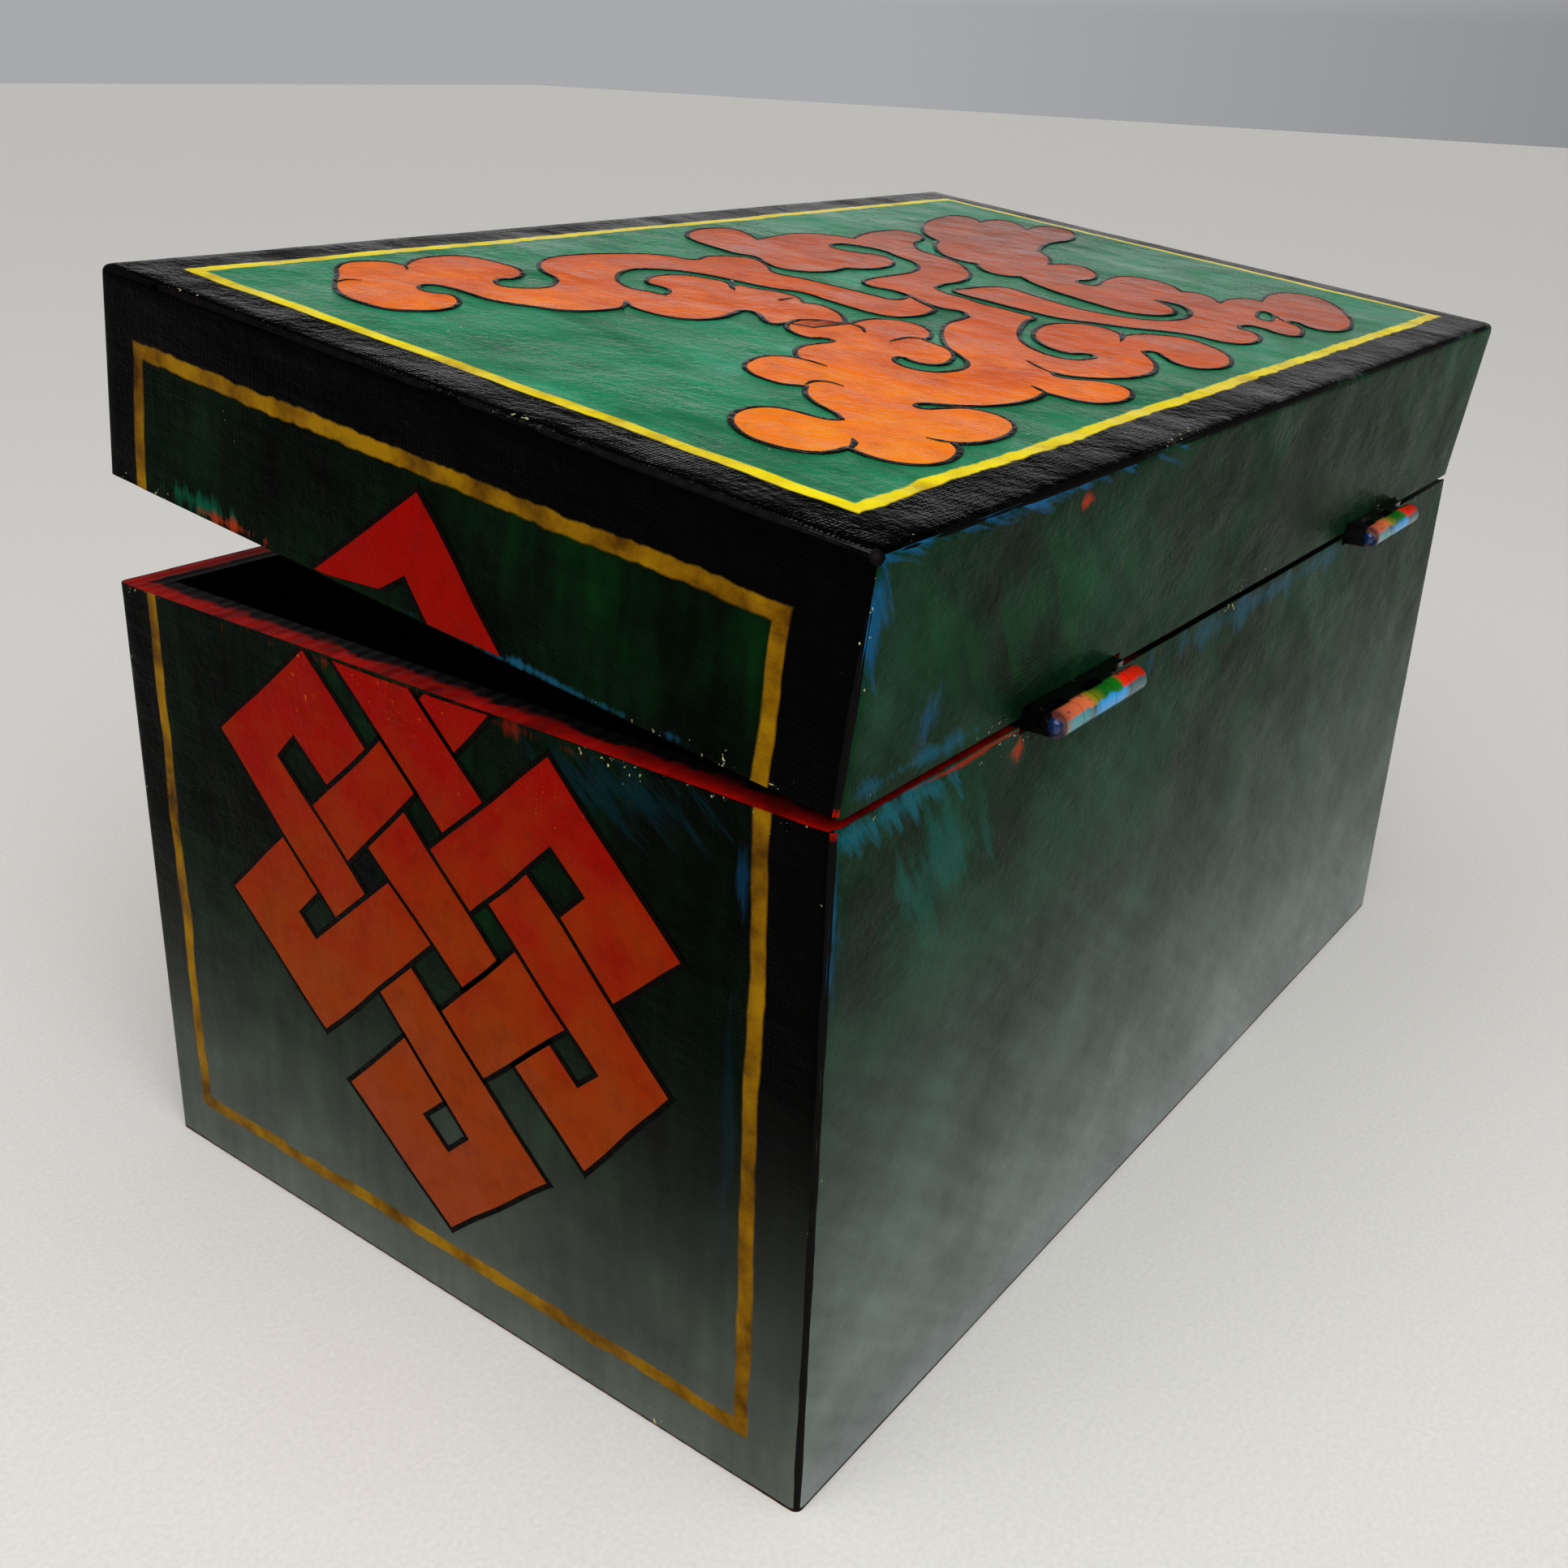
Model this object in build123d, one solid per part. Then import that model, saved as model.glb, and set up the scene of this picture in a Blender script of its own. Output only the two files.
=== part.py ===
from build123d import *
import math
import os

# A rectangular wooden box with a hinged lid, for jewelry.
# The walls, the bottom and the lid are boards held by nails.
# Painted cloth is glued over the outside of the base and of the lid.
# Two small butt hinges join the lid to the back of the base.
# The origin is the middle of the underside. X runs along the length,
# the front faces -Y, the hinged back faces +Y, and Z is up.
# The lid is drawn a little open, as its stiff hinges leave it.

os.makedirs("parts", exist_ok=True)

# Outside sizes, over the painted cloth
box_length = 305.0
box_width = 184.4
base_height = 136.4
lid_height = 42.8
lid_ajar_angle = 6.6

# Boards and cloth
wall_thickness = 8.0
bottom_thickness = 8.0
lid_wall_thickness = 8.0
lid_top_thickness = 8.0
cloth_thickness = 0.7
wood_edge_radius = 1.6
top_round_share = 0.98
cloth_foot_gap = 0.8
cut_margin = 1.0

# Butt hinges
hinge_length = 31.8
near_hinge_x = 76.9
far_hinge_x = -85.9
barrel_radius = 2.5
barrel_stand_off = 4.6
knuckle_count = 5
knuckle_gap = 0.2
leaf_thickness = 1.2
leaf_inner_margin = 0.9
pin_radius = 1.1
pin_press_clearance = 0.02
pin_running_clearance = 0.05
pin_head_radius = 1.6
pin_head_height = 1.3
dome_share = 0.95
base_mortise_depth = 1.4
lid_mortise_depth = 1.6
mortise_overcut = 3.0
leaf_relief = 0.4

# Screws in the hinge leaves
screw_spacing = 18.0
screw_shank_radius = 1.2
screw_head_radius = 2.2
screw_length = 9.0
screw_point_length = 2.0
screw_slot_width = 0.6
screw_slot_depth = 0.45
screw_clearance = 0.03
pilot_extra_depth = 0.6

# Wire nails in the boards
nail_length = 25.0
nail_shank_radius = 0.8
nail_head_radius = 1.6
nail_head_height = 0.8
nail_point_length = 1.8
sharp_point_radius = 0.08
nail_sink = 0.3
nail_clearance = 0.02
base_corner_nail_pitch = 42.0
base_corner_nail_rows = 3
lid_corner_nail_pitch = 14.0
lid_corner_nail_rows = 2
long_edge_nail_pitch = 75.0
long_edge_nails = 4
short_edge_nail_pitch = 80.0
short_edge_nails = 2

# Sizes that follow from those above
wood_length = box_length - 2 * cloth_thickness
wood_width = box_width - 2 * cloth_thickness
cloth_edge_radius = wood_edge_radius + cloth_thickness
back_face = box_width / 2
closed_gap = 2 * barrel_radius - base_mortise_depth - lid_mortise_depth
base_mortise_floor = base_height - base_mortise_depth
axis_y = back_face + barrel_stand_off
axis_z = base_mortise_floor + barrel_radius
lid_rim = base_height + closed_gap
lid_mortise_floor = lid_rim + lid_mortise_depth
lid_top = lid_rim + lid_height
lid_wood_top = lid_top - cloth_thickness
lid_wall_top = lid_wood_top - lid_top_thickness
screw_head_height = leaf_thickness
thinner_wall = min(wall_thickness, lid_wall_thickness)
leaf_inner_end = wood_width / 2 - thinner_wall + leaf_inner_margin
leaf_screw_y = (leaf_inner_end + wood_width / 2) / 2
hinge_places = {"near": near_hinge_x, "far": far_hinge_x}


def block(x_low, x_high, y_low, y_high, z_low, z_high):
    """A plain block between two corners."""
    size = (x_high - x_low, y_high - y_low, z_high - z_low)
    middle = ((x_low + x_high) / 2, (y_low + y_high) / 2, (z_low + z_high) / 2)
    return Pos(*middle) * Box(*size)


def outline_block(length, width, z_low, z_high, radius):
    """A block centred on Z with its four upright edges rounded."""
    solid = block(-length / 2, length / 2, -width / 2, width / 2, z_low, z_high)
    return fillet(solid.edges().filter_by(Axis.Z), radius)


def spread(count, pitch):
    """Places along a line, centred on zero."""
    return [(index - (count - 1) / 2) * pitch for index in range(count)]


def turned_lid(shape):
    """Turns a piece of the lid from parallel with the base to where the lid rests."""
    hinge_line = Axis((0, axis_y, axis_z), (-1, 0, 0))
    return shape.rotate(hinge_line, lid_ajar_angle)


def save(node, shape):
    """Writes one named piece."""
    shape.label = node
    export_step(shape, f"parts/{node}.step")


def nail(extra_radius=0.0):
    """A wire nail along -Z, the top of its head at the origin."""
    head = Cylinder(nail_head_radius + extra_radius, nail_head_height,
                    align=(Align.CENTER, Align.CENTER, Align.MAX))
    shank_length = nail_length - nail_point_length
    shank = Cylinder(nail_shank_radius + extra_radius, shank_length,
                     align=(Align.CENTER, Align.CENTER, Align.MAX))
    point = Cone(sharp_point_radius, nail_shank_radius + extra_radius, nail_point_length,
                 align=(Align.CENTER, Align.CENTER, Align.MAX))
    return head + shank + Pos(0, 0, -shank_length) * point


def nail_hole():
    """The room that a nail takes in the boards, open through the head."""
    return nail(nail_clearance) + Cylinder(
        nail_head_radius + nail_clearance, nail_sink + cut_margin,
        align=(Align.CENTER, Align.CENTER, Align.MIN))


def screw(extra_radius=0.0):
    """A countersunk screw along -Z, the top of its head at the origin."""
    head = Cone(screw_shank_radius + extra_radius, screw_head_radius + extra_radius,
                screw_head_height, align=(Align.CENTER, Align.CENTER, Align.MAX))
    shank_length = screw_length - screw_point_length
    shank = Cylinder(screw_shank_radius + extra_radius, shank_length,
                     align=(Align.CENTER, Align.CENTER, Align.MAX))
    point = Cone(sharp_point_radius, screw_shank_radius + extra_radius, screw_point_length,
                 align=(Align.CENTER, Align.CENTER, Align.MAX))
    return head + shank + Pos(0, 0, -shank_length) * point


def slotted_screw():
    """A screw with the slot for its driver."""
    slot = Box(2 * screw_head_radius + cut_margin, screw_slot_width, 2 * screw_slot_depth)
    return screw() - slot


def screw_hole():
    """The room that a screw takes in a leaf and in the board behind it."""
    drilled = Cylinder(screw_shank_radius + screw_clearance, screw_length + pilot_extra_depth,
                       align=(Align.CENTER, Align.CENTER, Align.MAX))
    return screw(screw_clearance) + drilled


def corner_nail_places(wood_depth, middle_height, rows, pitch, wall):
    """Nails through the long walls into the ends of the short ones."""
    places = []
    for x_side in (-1, 1):
        for y_side in (-1, 1):
            for rise in spread(rows, pitch):
                x = x_side * (wood_length / 2 - wall / 2)
                y = y_side * (wood_depth / 2 - nail_sink)
                places.append(Pos(x, y, middle_height + rise) * Rot(-90 * y_side, 0, 0))
    return places


def edge_nail_places(height, wall, pointing_up):
    """Nails through a flat board into the walls under or over it."""
    places = []
    turn = Rot(180, 0, 0) if pointing_up else Rot(0, 0, 0)
    for side in (-1, 1):
        for along in spread(long_edge_nails, long_edge_nail_pitch):
            places.append(Pos(along, side * (wood_width / 2 - wall / 2), height) * turn)
        for along in spread(short_edge_nails, short_edge_nail_pitch):
            places.append(Pos(side * (wood_length / 2 - wall / 2), along, height) * turn)
    return places


base_corner_places = corner_nail_places(
    wood_width, (bottom_thickness + base_height) / 2,
    base_corner_nail_rows, base_corner_nail_pitch, wall_thickness)
base_bottom_places = edge_nail_places(nail_sink, wall_thickness, True)
lid_corner_places = corner_nail_places(
    wood_width, (lid_rim + lid_wall_top) / 2,
    lid_corner_nail_rows, lid_corner_nail_pitch, lid_wall_thickness)
lid_top_places = edge_nail_places(lid_wood_top - nail_sink, lid_wall_thickness, False)


def leaf_screw_places(height, pointing_down):
    """Screws in the leaves of both hinges."""
    turn = Rot(0, 0, 0) if pointing_down else Rot(180, 0, 0)
    return [Pos(middle + along, leaf_screw_y, height) * turn
            for middle in hinge_places.values() for along in spread(2, screw_spacing)]


base_screw_places = leaf_screw_places(base_mortise_floor + leaf_thickness, True)
lid_screw_places = leaf_screw_places(lid_mortise_floor - leaf_thickness, False)


def mortises(z_low, z_high):
    """The two notches that the hinge leaves lie in, through the whole wall."""
    half = hinge_length / 2 + mortise_overcut
    inner = wood_width / 2 - max(wall_thickness, lid_wall_thickness) - cut_margin
    return [block(middle - half, middle + half, inner, back_face + cut_margin, z_low, z_high)
            for middle in hinge_places.values()]


def cut(solid, tool, places):
    """Cuts one tool out of a solid at each place."""
    return solid - [place * tool for place in places]


def walls(z_low, z_high, wall, rounded):
    """Four boards in a ring: long front and back, short ends between them."""
    half_length = wood_length / 2
    half_width = wood_width / 2
    inner_width = half_width - wall
    boards = {
        "front_board": block(-half_length, half_length, -half_width, -inner_width, z_low, z_high),
        "back_board": block(-half_length, half_length, inner_width, half_width, z_low, z_high),
        "left_end_board": block(-half_length, -half_length + wall, -inner_width, inner_width,
                                z_low, z_high),
        "right_end_board": block(half_length - wall, half_length, -inner_width, inner_width,
                                 z_low, z_high),
    }
    return {name: board & rounded for name, board in boards.items()}


def base_pieces():
    """The five boards of the base, their nails and the cloth round them."""
    rounded = outline_block(wood_length, wood_width, 0, base_height, wood_edge_radius)
    pieces = walls(bottom_thickness, base_height, wall_thickness, rounded)
    pieces["bottom_board"] = rounded & block(-wood_length / 2, wood_length / 2, -wood_width / 2,
                                             wood_width / 2, 0, bottom_thickness)
    for name in pieces:
        pieces[name] = cut(pieces[name], nail_hole(), base_corner_places + base_bottom_places)
    for notch in mortises(base_mortise_floor, base_height + cut_margin):
        pieces["back_board"] -= notch
    pieces["back_board"] = cut(pieces["back_board"], screw_hole(), base_screw_places)
    outer = outline_block(box_length, box_width, cloth_foot_gap, base_height, cloth_edge_radius)
    cloth = outer - rounded
    for notch in mortises(base_mortise_floor, base_height + cut_margin):
        cloth -= notch
    pieces["cloth_covering"] = cloth
    pieces["corner_nails"] = Compound([place * nail() for place in base_corner_places])
    pieces["bottom_nails"] = Compound([place * nail() for place in base_bottom_places])
    pieces["leaf_screws"] = Compound([place * slotted_screw() for place in base_screw_places])
    return {f"base_{name}": piece for name, piece in pieces.items()}


def lid_blank(length, width, height, radius):
    """The lid's outer shape from its rim up, with its top and upright edges rounded."""
    solid = outline_block(length, width, lid_rim, height, radius)
    return fillet(solid.faces().sort_by(Axis.Z)[-1].edges(), radius * top_round_share)


def lid_pieces():
    """The five boards of the lid, their nails and the cloth over them, before the turn."""
    wood = lid_blank(wood_length, wood_width, lid_wood_top, wood_edge_radius)
    pieces = walls(lid_rim, lid_wall_top, lid_wall_thickness, wood)
    pieces["top_board"] = wood & block(-wood_length / 2, wood_length / 2, -wood_width / 2,
                                       wood_width / 2, lid_wall_top, lid_wood_top)
    for name in pieces:
        pieces[name] = cut(pieces[name], nail_hole(), lid_corner_places + lid_top_places)
    for notch in mortises(lid_rim - cut_margin, lid_mortise_floor):
        pieces["back_board"] -= notch
    pieces["back_board"] = cut(pieces["back_board"], screw_hole(), lid_screw_places)
    cloth = lid_blank(box_length, box_width, lid_top, cloth_edge_radius) - wood
    for notch in mortises(lid_rim - cut_margin, lid_mortise_floor):
        cloth -= notch
    pieces["cloth_covering"] = cloth
    pieces["corner_nails"] = Compound([place * nail() for place in lid_corner_places])
    pieces["top_nails"] = Compound([place * nail() for place in lid_top_places])
    pieces["leaf_screws"] = Compound([place * slotted_screw() for place in lid_screw_places])
    return {f"lid_{name}": piece for name, piece in pieces.items()}


def knuckle_spans(middle, first):
    """Where one leaf's knuckles lie along the hinge: every other one, from first."""
    pitch = hinge_length / knuckle_count
    start = middle - hinge_length / 2
    return [(start + index * pitch + knuckle_gap / 2, start + (index + 1) * pitch - knuckle_gap / 2)
            for index in range(first, knuckle_count, 2)]


def hinge_leaf(middle, first, side, bore_clearance, screw_places):
    """A leaf with its rolled knuckles. side is -1 for the base's leaf and 1 for the lid's."""
    outer = axis_z + side * barrel_radius
    inner = outer - side * leaf_thickness
    z_low, z_high = sorted((outer, inner))
    plate_end = axis_y - barrel_radius - leaf_relief
    leaf = block(middle - hinge_length / 2, middle + hinge_length / 2,
                 leaf_inner_end, plate_end, z_low, z_high)
    for x_low, x_high in knuckle_spans(middle, first):
        leaf += block(x_low, x_high, plate_end, axis_y, z_low, z_high)
        barrel = Cylinder(barrel_radius, x_high - x_low)
        leaf += Pos((x_low + x_high) / 2, axis_y, axis_z) * Rot(0, 90, 0) * barrel
    bore = Cylinder(pin_radius + bore_clearance, hinge_length + cut_margin)
    leaf -= Pos(middle, axis_y, axis_z) * Rot(0, 90, 0) * bore
    return cut(leaf, screw_hole(), screw_places)


def hinge_pin(middle):
    """A round pin through the knuckles, with a domed head at the +X end."""
    shank = Cylinder(pin_radius, hinge_length)
    head = Pos(0, 0, hinge_length / 2) * Cylinder(
        pin_head_radius, pin_head_height, align=(Align.CENTER, Align.CENTER, Align.MIN))
    rim = head.edges().sort_by(Axis.Z)[-1]
    domed = fillet(rim, dome_share * min(pin_head_radius, pin_head_height))
    return Pos(middle, axis_y, axis_z) * Rot(0, 90, 0) * (shank + domed)


def hinges():
    """Both hinges: base leaves and pins stay put, lid leaves turn with the lid."""
    still = {}
    turning = {}
    for name, middle in hinge_places.items():
        still[f"{name}_hinge_base_leaf"] = hinge_leaf(
            middle, 0, -1, pin_press_clearance, base_screw_places)
        still[f"{name}_hinge_pin"] = hinge_pin(middle)
        turning[f"{name}_hinge_lid_leaf"] = hinge_leaf(
            middle, 1, 1, pin_running_clearance, lid_screw_places)
    return still, turning


def main():
    """Builds every piece, turns the lid to where it rests and writes them all."""
    still_hinges, turning_hinges = hinges()
    for node, piece in {**base_pieces(), **still_hinges}.items():
        save(node, piece)
    for node, piece in {**lid_pieces(), **turning_hinges}.items():
        save(node, turned_lid(piece))
    front_reach = back_face + axis_y
    front_closes = math.degrees(math.asin(closed_gap / front_reach))
    print("hinge axis y, z:", axis_y, axis_z)
    print("lid closes by", round(lid_ajar_angle + front_closes, 2), "degrees from rest")


main()
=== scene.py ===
"""Painted wooden jewelry box in the Himalayan style: its looks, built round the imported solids.

The boards, the nails, the screws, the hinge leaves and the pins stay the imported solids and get
their finishes here. The glued cloth on the base and on the lid is modelled anew with its paint. The
endless knot and the cloud scroll are thin layers of paint that lie on that cloth. Sizes are in
millimetres and turn to metres where a mesh is made; only the studio's are in metres.
"""

import logging
import math
from collections.abc import Callable, Sequence
from dataclasses import dataclass, field
from enum import Enum
from functools import partial

import bmesh
import bpy
from mathutils import Matrix, Vector, noise


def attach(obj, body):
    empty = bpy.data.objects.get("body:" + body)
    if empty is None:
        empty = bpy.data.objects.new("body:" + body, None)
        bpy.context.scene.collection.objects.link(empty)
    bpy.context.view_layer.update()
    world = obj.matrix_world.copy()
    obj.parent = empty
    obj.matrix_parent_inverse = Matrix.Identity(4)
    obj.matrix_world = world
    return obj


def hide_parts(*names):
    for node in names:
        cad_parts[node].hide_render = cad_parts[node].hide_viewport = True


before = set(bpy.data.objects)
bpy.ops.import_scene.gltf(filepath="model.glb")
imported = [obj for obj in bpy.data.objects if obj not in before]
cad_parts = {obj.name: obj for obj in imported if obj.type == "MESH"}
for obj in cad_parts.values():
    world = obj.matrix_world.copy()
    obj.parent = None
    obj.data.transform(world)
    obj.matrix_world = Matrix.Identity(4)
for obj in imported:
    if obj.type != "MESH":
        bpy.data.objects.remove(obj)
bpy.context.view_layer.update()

LOG = logging.getLogger("jewelry_box")
MM = 0.001
# How much of a unit direction lies along an axis before it counts as that axis
ALONG_AXIS = 0.9
# Places closer together than this, in millimetres, are the same
SAME_PLACE = 0.01
# Without a seed of its own, the noise vector takes the clock's and differs from run to run
NOISE_SEED = 7

AddNode = Callable[..., bpy.types.NodeSocket]
Outline = Sequence[tuple[float, float, bool]]
Point = tuple[float, float]
Stops = tuple[tuple[float, str], ...]


# The hinge and the two bodies


@dataclass(frozen=True)
class HingeLine:
    """Where the lid turns, and how far it stands ajar at rest."""

    back: float = 96.8
    height: float = 137.5
    ajar: float = 6.6

    def turn(self) -> Matrix:
        """Gives the move that takes the closed lid to its rest, in metres."""
        axis = Vector((0.0, self.back * MM, self.height * MM))
        swing = Matrix.Rotation(math.radians(-self.ajar), 4, "X")
        return Matrix.Translation(axis) @ swing @ Matrix.Translation(-axis)


HINGE = HingeLine()


class Body(Enum):
    """The two bodies that a piece can ride on."""

    BASE = "base"
    LID = "lid"


class Face(Enum):
    """A face of the box, as the directions of its own across, up and outward axes."""

    TOP = ((1, 0, 0), (0, 1, 0), (0, 0, 1))
    FRONT = ((1, 0, 0), (0, 0, 1), (0, -1, 0))
    BACK = ((-1, 0, 0), (0, 0, 1), (0, 1, 0))
    NEAR_END = ((0, 1, 0), (0, 0, 1), (1, 0, 0))
    FAR_END = ((0, -1, 0), (0, 0, 1), (-1, 0, 0))

    def lay(self, distance: float) -> Matrix:
        """Gives the move from a flat drawing to this face.

        Args:
            distance: How far the face is from the box's middle, in millimetres.

        Returns:
            The move, with the drawing's x across the face, y up it and z outwards.
        """
        across, up, out = (Vector(axis) for axis in self.value)
        turned = Matrix((across, up, out)).transposed().to_4x4()
        return Matrix.Translation(out * distance * MM) @ turned


# Small tools for meshes


def deselect_all() -> None:
    """Leaves edit mode and deselects every object."""
    if bpy.context.object and bpy.context.object.mode != "OBJECT":
        bpy.ops.object.mode_set(mode="OBJECT")
    bpy.ops.object.select_all(action="DESELECT")


def make_active(*objects: bpy.types.Object) -> None:
    """Selects only these objects and makes the first one active."""
    deselect_all()
    for chosen in objects:
        chosen.select_set(True)
    bpy.context.view_layer.objects.active = objects[0]


def pick(thing: bpy.types.Object, kind: str, test: Callable[[Vector, Vector], bool]) -> int:
    """Selects the faces, edges or vertices that pass a test, in edit mode.

    Args:
        thing: The object in edit mode.
        kind: "faces", "edges" or "verts".
        test: Gets the element's middle in millimetres and its direction, and says yes or no.

    Returns:
        How many were selected.
    """
    modes = {"verts": "VERT", "edges": "EDGE", "faces": "FACE"}
    bpy.ops.mesh.select_mode(type=modes[kind])
    bpy.ops.mesh.select_all(action="DESELECT")
    mesh = bmesh.from_edit_mesh(thing.data)
    chosen = 0
    for element in getattr(mesh, kind):
        if kind == "verts":
            middle, way = element.co, element.normal
        elif kind == "edges":
            first, second = (corner.co for corner in element.verts)
            middle, way = (first + second) / 2, (second - first).normalized()
        else:
            middle, way = element.calc_center_median(), element.normal
        element.select = test(middle / MM, way)
        chosen += element.select
    mesh.select_flush_mode()
    bmesh.update_edit_mesh(thing.data)
    return chosen


def apply_modifiers(thing: bpy.types.Object) -> None:
    """Applies every modifier of a piece in order."""
    make_active(thing)
    for modifier in list(thing.modifiers):
        bpy.ops.object.modifier_apply(modifier=modifier.name)


def place(thing: bpy.types.Object, move: Matrix) -> None:
    """Moves a piece and puts the move into its mesh, so that its object stays at the origin.

    Args:
        thing: The piece.
        move: The move, in metres.
    """
    make_active(thing)
    thing.matrix_world = move @ thing.matrix_world
    bpy.ops.object.transform_apply(location=True, rotation=True, scale=True)


def join(pieces: Sequence[bpy.types.Object], name: str) -> bpy.types.Object:
    """Joins meshes into one piece and names it.

    Args:
        pieces: The meshes, of which the first one keeps its material slots first.
        name: The joined piece's name.

    Returns:
        The joined piece.
    """
    make_active(*pieces)
    if len(pieces) > 1:
        bpy.ops.object.join()
    joined = bpy.context.object
    joined.name = name
    joined.data.name = name
    return joined


# Small tools for materials


def linear(hex_colour: str) -> tuple[float, float, float, float]:
    """Turns an sRGB colour such as "#2E5A40" to the linear values that nodes take."""
    channels = (int(hex_colour[i : i + 2], 16) / 255 for i in (1, 3, 5))
    values = (c / 12.92 if c <= 0.04045 else ((c + 0.055) / 1.055) ** 2.4 for c in channels)
    return (*values, 1.0)


def add_node(
    tree: bpy.types.NodeTree,
    kind: str,
    inputs: dict | Sequence = (),
    output: str | int = 0,
    stops: Stops = (),
    **settings: object,
) -> bpy.types.NodeSocket | None:
    """Adds a node with its settings, its values and its links.

    Args:
        tree: The material's or the world's node tree.
        kind: The node's type name without the "ShaderNode" that it starts with.
        inputs: A socket to link, or a value to set, for each input: by name, or in their order.
        output: The output that is wanted, by name or number.
        stops: A colour ramp's stops: a place from 0 to 1 and an sRGB colour for each.
        **settings: The node's own properties.

    Returns:
        The wanted output, or none where the node has no outputs.
    """
    node = tree.nodes.new("ShaderNode" + kind)
    for name, value in settings.items():
        setattr(node, name, value)
    for key, value in inputs.items() if isinstance(inputs, dict) else enumerate(inputs):
        if isinstance(value, bpy.types.NodeSocket):
            tree.links.new(value, node.inputs[key])
        else:
            node.inputs[key].default_value = value
    if stops:
        elements = node.color_ramp.elements
        while len(elements) < len(stops):
            elements.new(1.0)
        for element, (position, colour) in zip(elements, stops):
            element.position = position
            element.color = linear(colour)
    return node.outputs[output] if node.outputs else None


def fresh_material(name: str) -> tuple[bpy.types.Material, AddNode]:
    """Makes a material without nodes, and the function that adds a node to it."""
    material = bpy.data.materials.new(name)
    material.use_nodes = True
    material.node_tree.nodes.clear()
    return material, partial(add_node, material.node_tree)


def box_millimetres(add: AddNode, body: Body) -> bpy.types.NodeSocket:
    """Gives the place on the closed box in millimetres, which the paint is laid out by.

    Args:
        add: Adds a node to the material.
        body: The body that carries the paint; the lid's turn at rest is undone.

    Returns:
        The socket with the place.
    """
    spot = add("TexCoord", output="Object")
    if body is Body.LID:
        undo = HINGE.turn().inverted()
        turned = {"Vector": spot, "Location": undo.to_translation(), "Rotation": undo.to_euler()}
        spot = add("Mapping", turned)
    return add("VectorMath", {0: spot, "Scale": 1 / MM}, operation="SCALE")


# The finishes


# Most of a noise pattern lies between these values
NOISE_ENDS = (0.3, 0.7)


@dataclass(frozen=True)
class Gloss:
    """How a face's varnish shines: worn on the walls, thicker on the back and the lid's top."""

    specular: float = 0.04
    roughness: tuple[float, float] = (0.30, 0.46)


WALL_GLOSS = Gloss()
BACK_GLOSS = Gloss(specular=0.045, roughness=(0.24, 0.40))
TOP_GLOSS = Gloss(specular=0.45, roughness=(0.12, 0.26))


def linen_relief(
    add: AddNode, spot: bpy.types.NodeSocket, threads: tuple[str, str]
) -> bpy.types.NodeSocket:
    """Adds the relief of primed linen: its threads, the lumps of gesso and brushed unevenness.

    Args:
        add: Adds a node to the material.
        spot: The place in millimetres.
        threads: The axes that the two sets of threads are spaced along, such as ("Y", "Z").

    Returns:
        The socket with the surface's direction.
    """
    # Real threads are about 0.6 mm apart; 0.9 mm is the finest spacing that shows in the picture.
    # At a scale of 1 the wave repeats twenty times in 2 pi.
    spacing = 0.9
    wave = {"Vector": spot, "Scale": 2 * math.pi / (20 * spacing), "Distortion": 5.0}
    wave |= {"Detail": 2.0, "Detail Scale": 0.6}
    waves = [add("TexWave", wave, "Fac", bands_direction=axis) for axis in threads]
    weave = add("Math", waves, operation="MULTIPLY")
    # The gesso fills the weave in patches, so the threads come and go
    filled, bare = 0.42, 0.62
    patches = add("TexNoise", {"Vector": spot, "Scale": 1 / 22.0, "Detail": 4.0})
    open_weave = add("MapRange", (patches, filled, bare))
    seen = add("Math", (weave, open_weave), operation="MULTIPLY")
    slanted = add(
        "Mapping", {"Vector": spot, "Rotation": (0.5, 0.35, 0.5), "Scale": (0.35, 0.16, 0.75)}
    )
    brushed = add(
        "TexNoise", {"Vector": slanted, "Scale": 1 / 3.6, "Detail": 4.0, "Roughness": 0.55}
    )
    lumps = add("TexNoise", {"Vector": spot, "Scale": 1 / 26.0, "Detail": 2.0})
    gesso = add("TexNoise", {"Vector": spot, "Scale": 1 / 1.9, "Detail": 4.0, "Roughness": 0.62})
    # Each pattern with its strength and its depth in millimetres
    layers = ((lumps, 0.8, 1.6), (brushed, 0.9, 0.6), (gesso, 0.75, 0.28), (seen, 0.5, 0.1))
    normal = None
    for height, strength, depth in layers:
        sockets = {"Height": height, "Strength": strength, "Distance": depth * MM}
        if normal is not None:
            sockets["Normal"] = normal
        normal = add("Bump", sockets)
    return normal


def varnish(
    add: AddNode,
    colour: bpy.types.NodeSocket,
    normal: bpy.types.NodeSocket,
    spot: bpy.types.NodeSocket,
    gloss: Gloss,
) -> None:
    """Finishes oil paint under a brushed varnish and links it to the output.

    Args:
        add: Adds a node to the material.
        colour: The paint's colour.
        normal: The surface's direction.
        spot: The place in millimetres, for the varnish's uneven gloss.
        gloss: How it shines.
    """
    strokes = add("TexNoise", {"Vector": spot, "Scale": 1 / 16.0, "Detail": 5.0})
    shine = {
        "Roughness": add("MapRange", (strokes, *NOISE_ENDS, *gloss.roughness)),
        "IOR": 1.5,
        "Specular IOR Level": gloss.specular,
    }
    shader = add("BsdfPrincipled", {"Base Color": colour, "Normal": normal, **shine})
    add("OutputMaterial", {"Surface": shader})


@dataclass(frozen=True)
class Dabs:
    """Brush strokes of another colour in one part of a face, some also a painted sheen on edges."""

    colour: str
    middle: tuple[float, float]
    reach: tuple[float, float]
    amount: float = 0.55
    size: float = 5.0
    slant: float = 0.0


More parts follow.
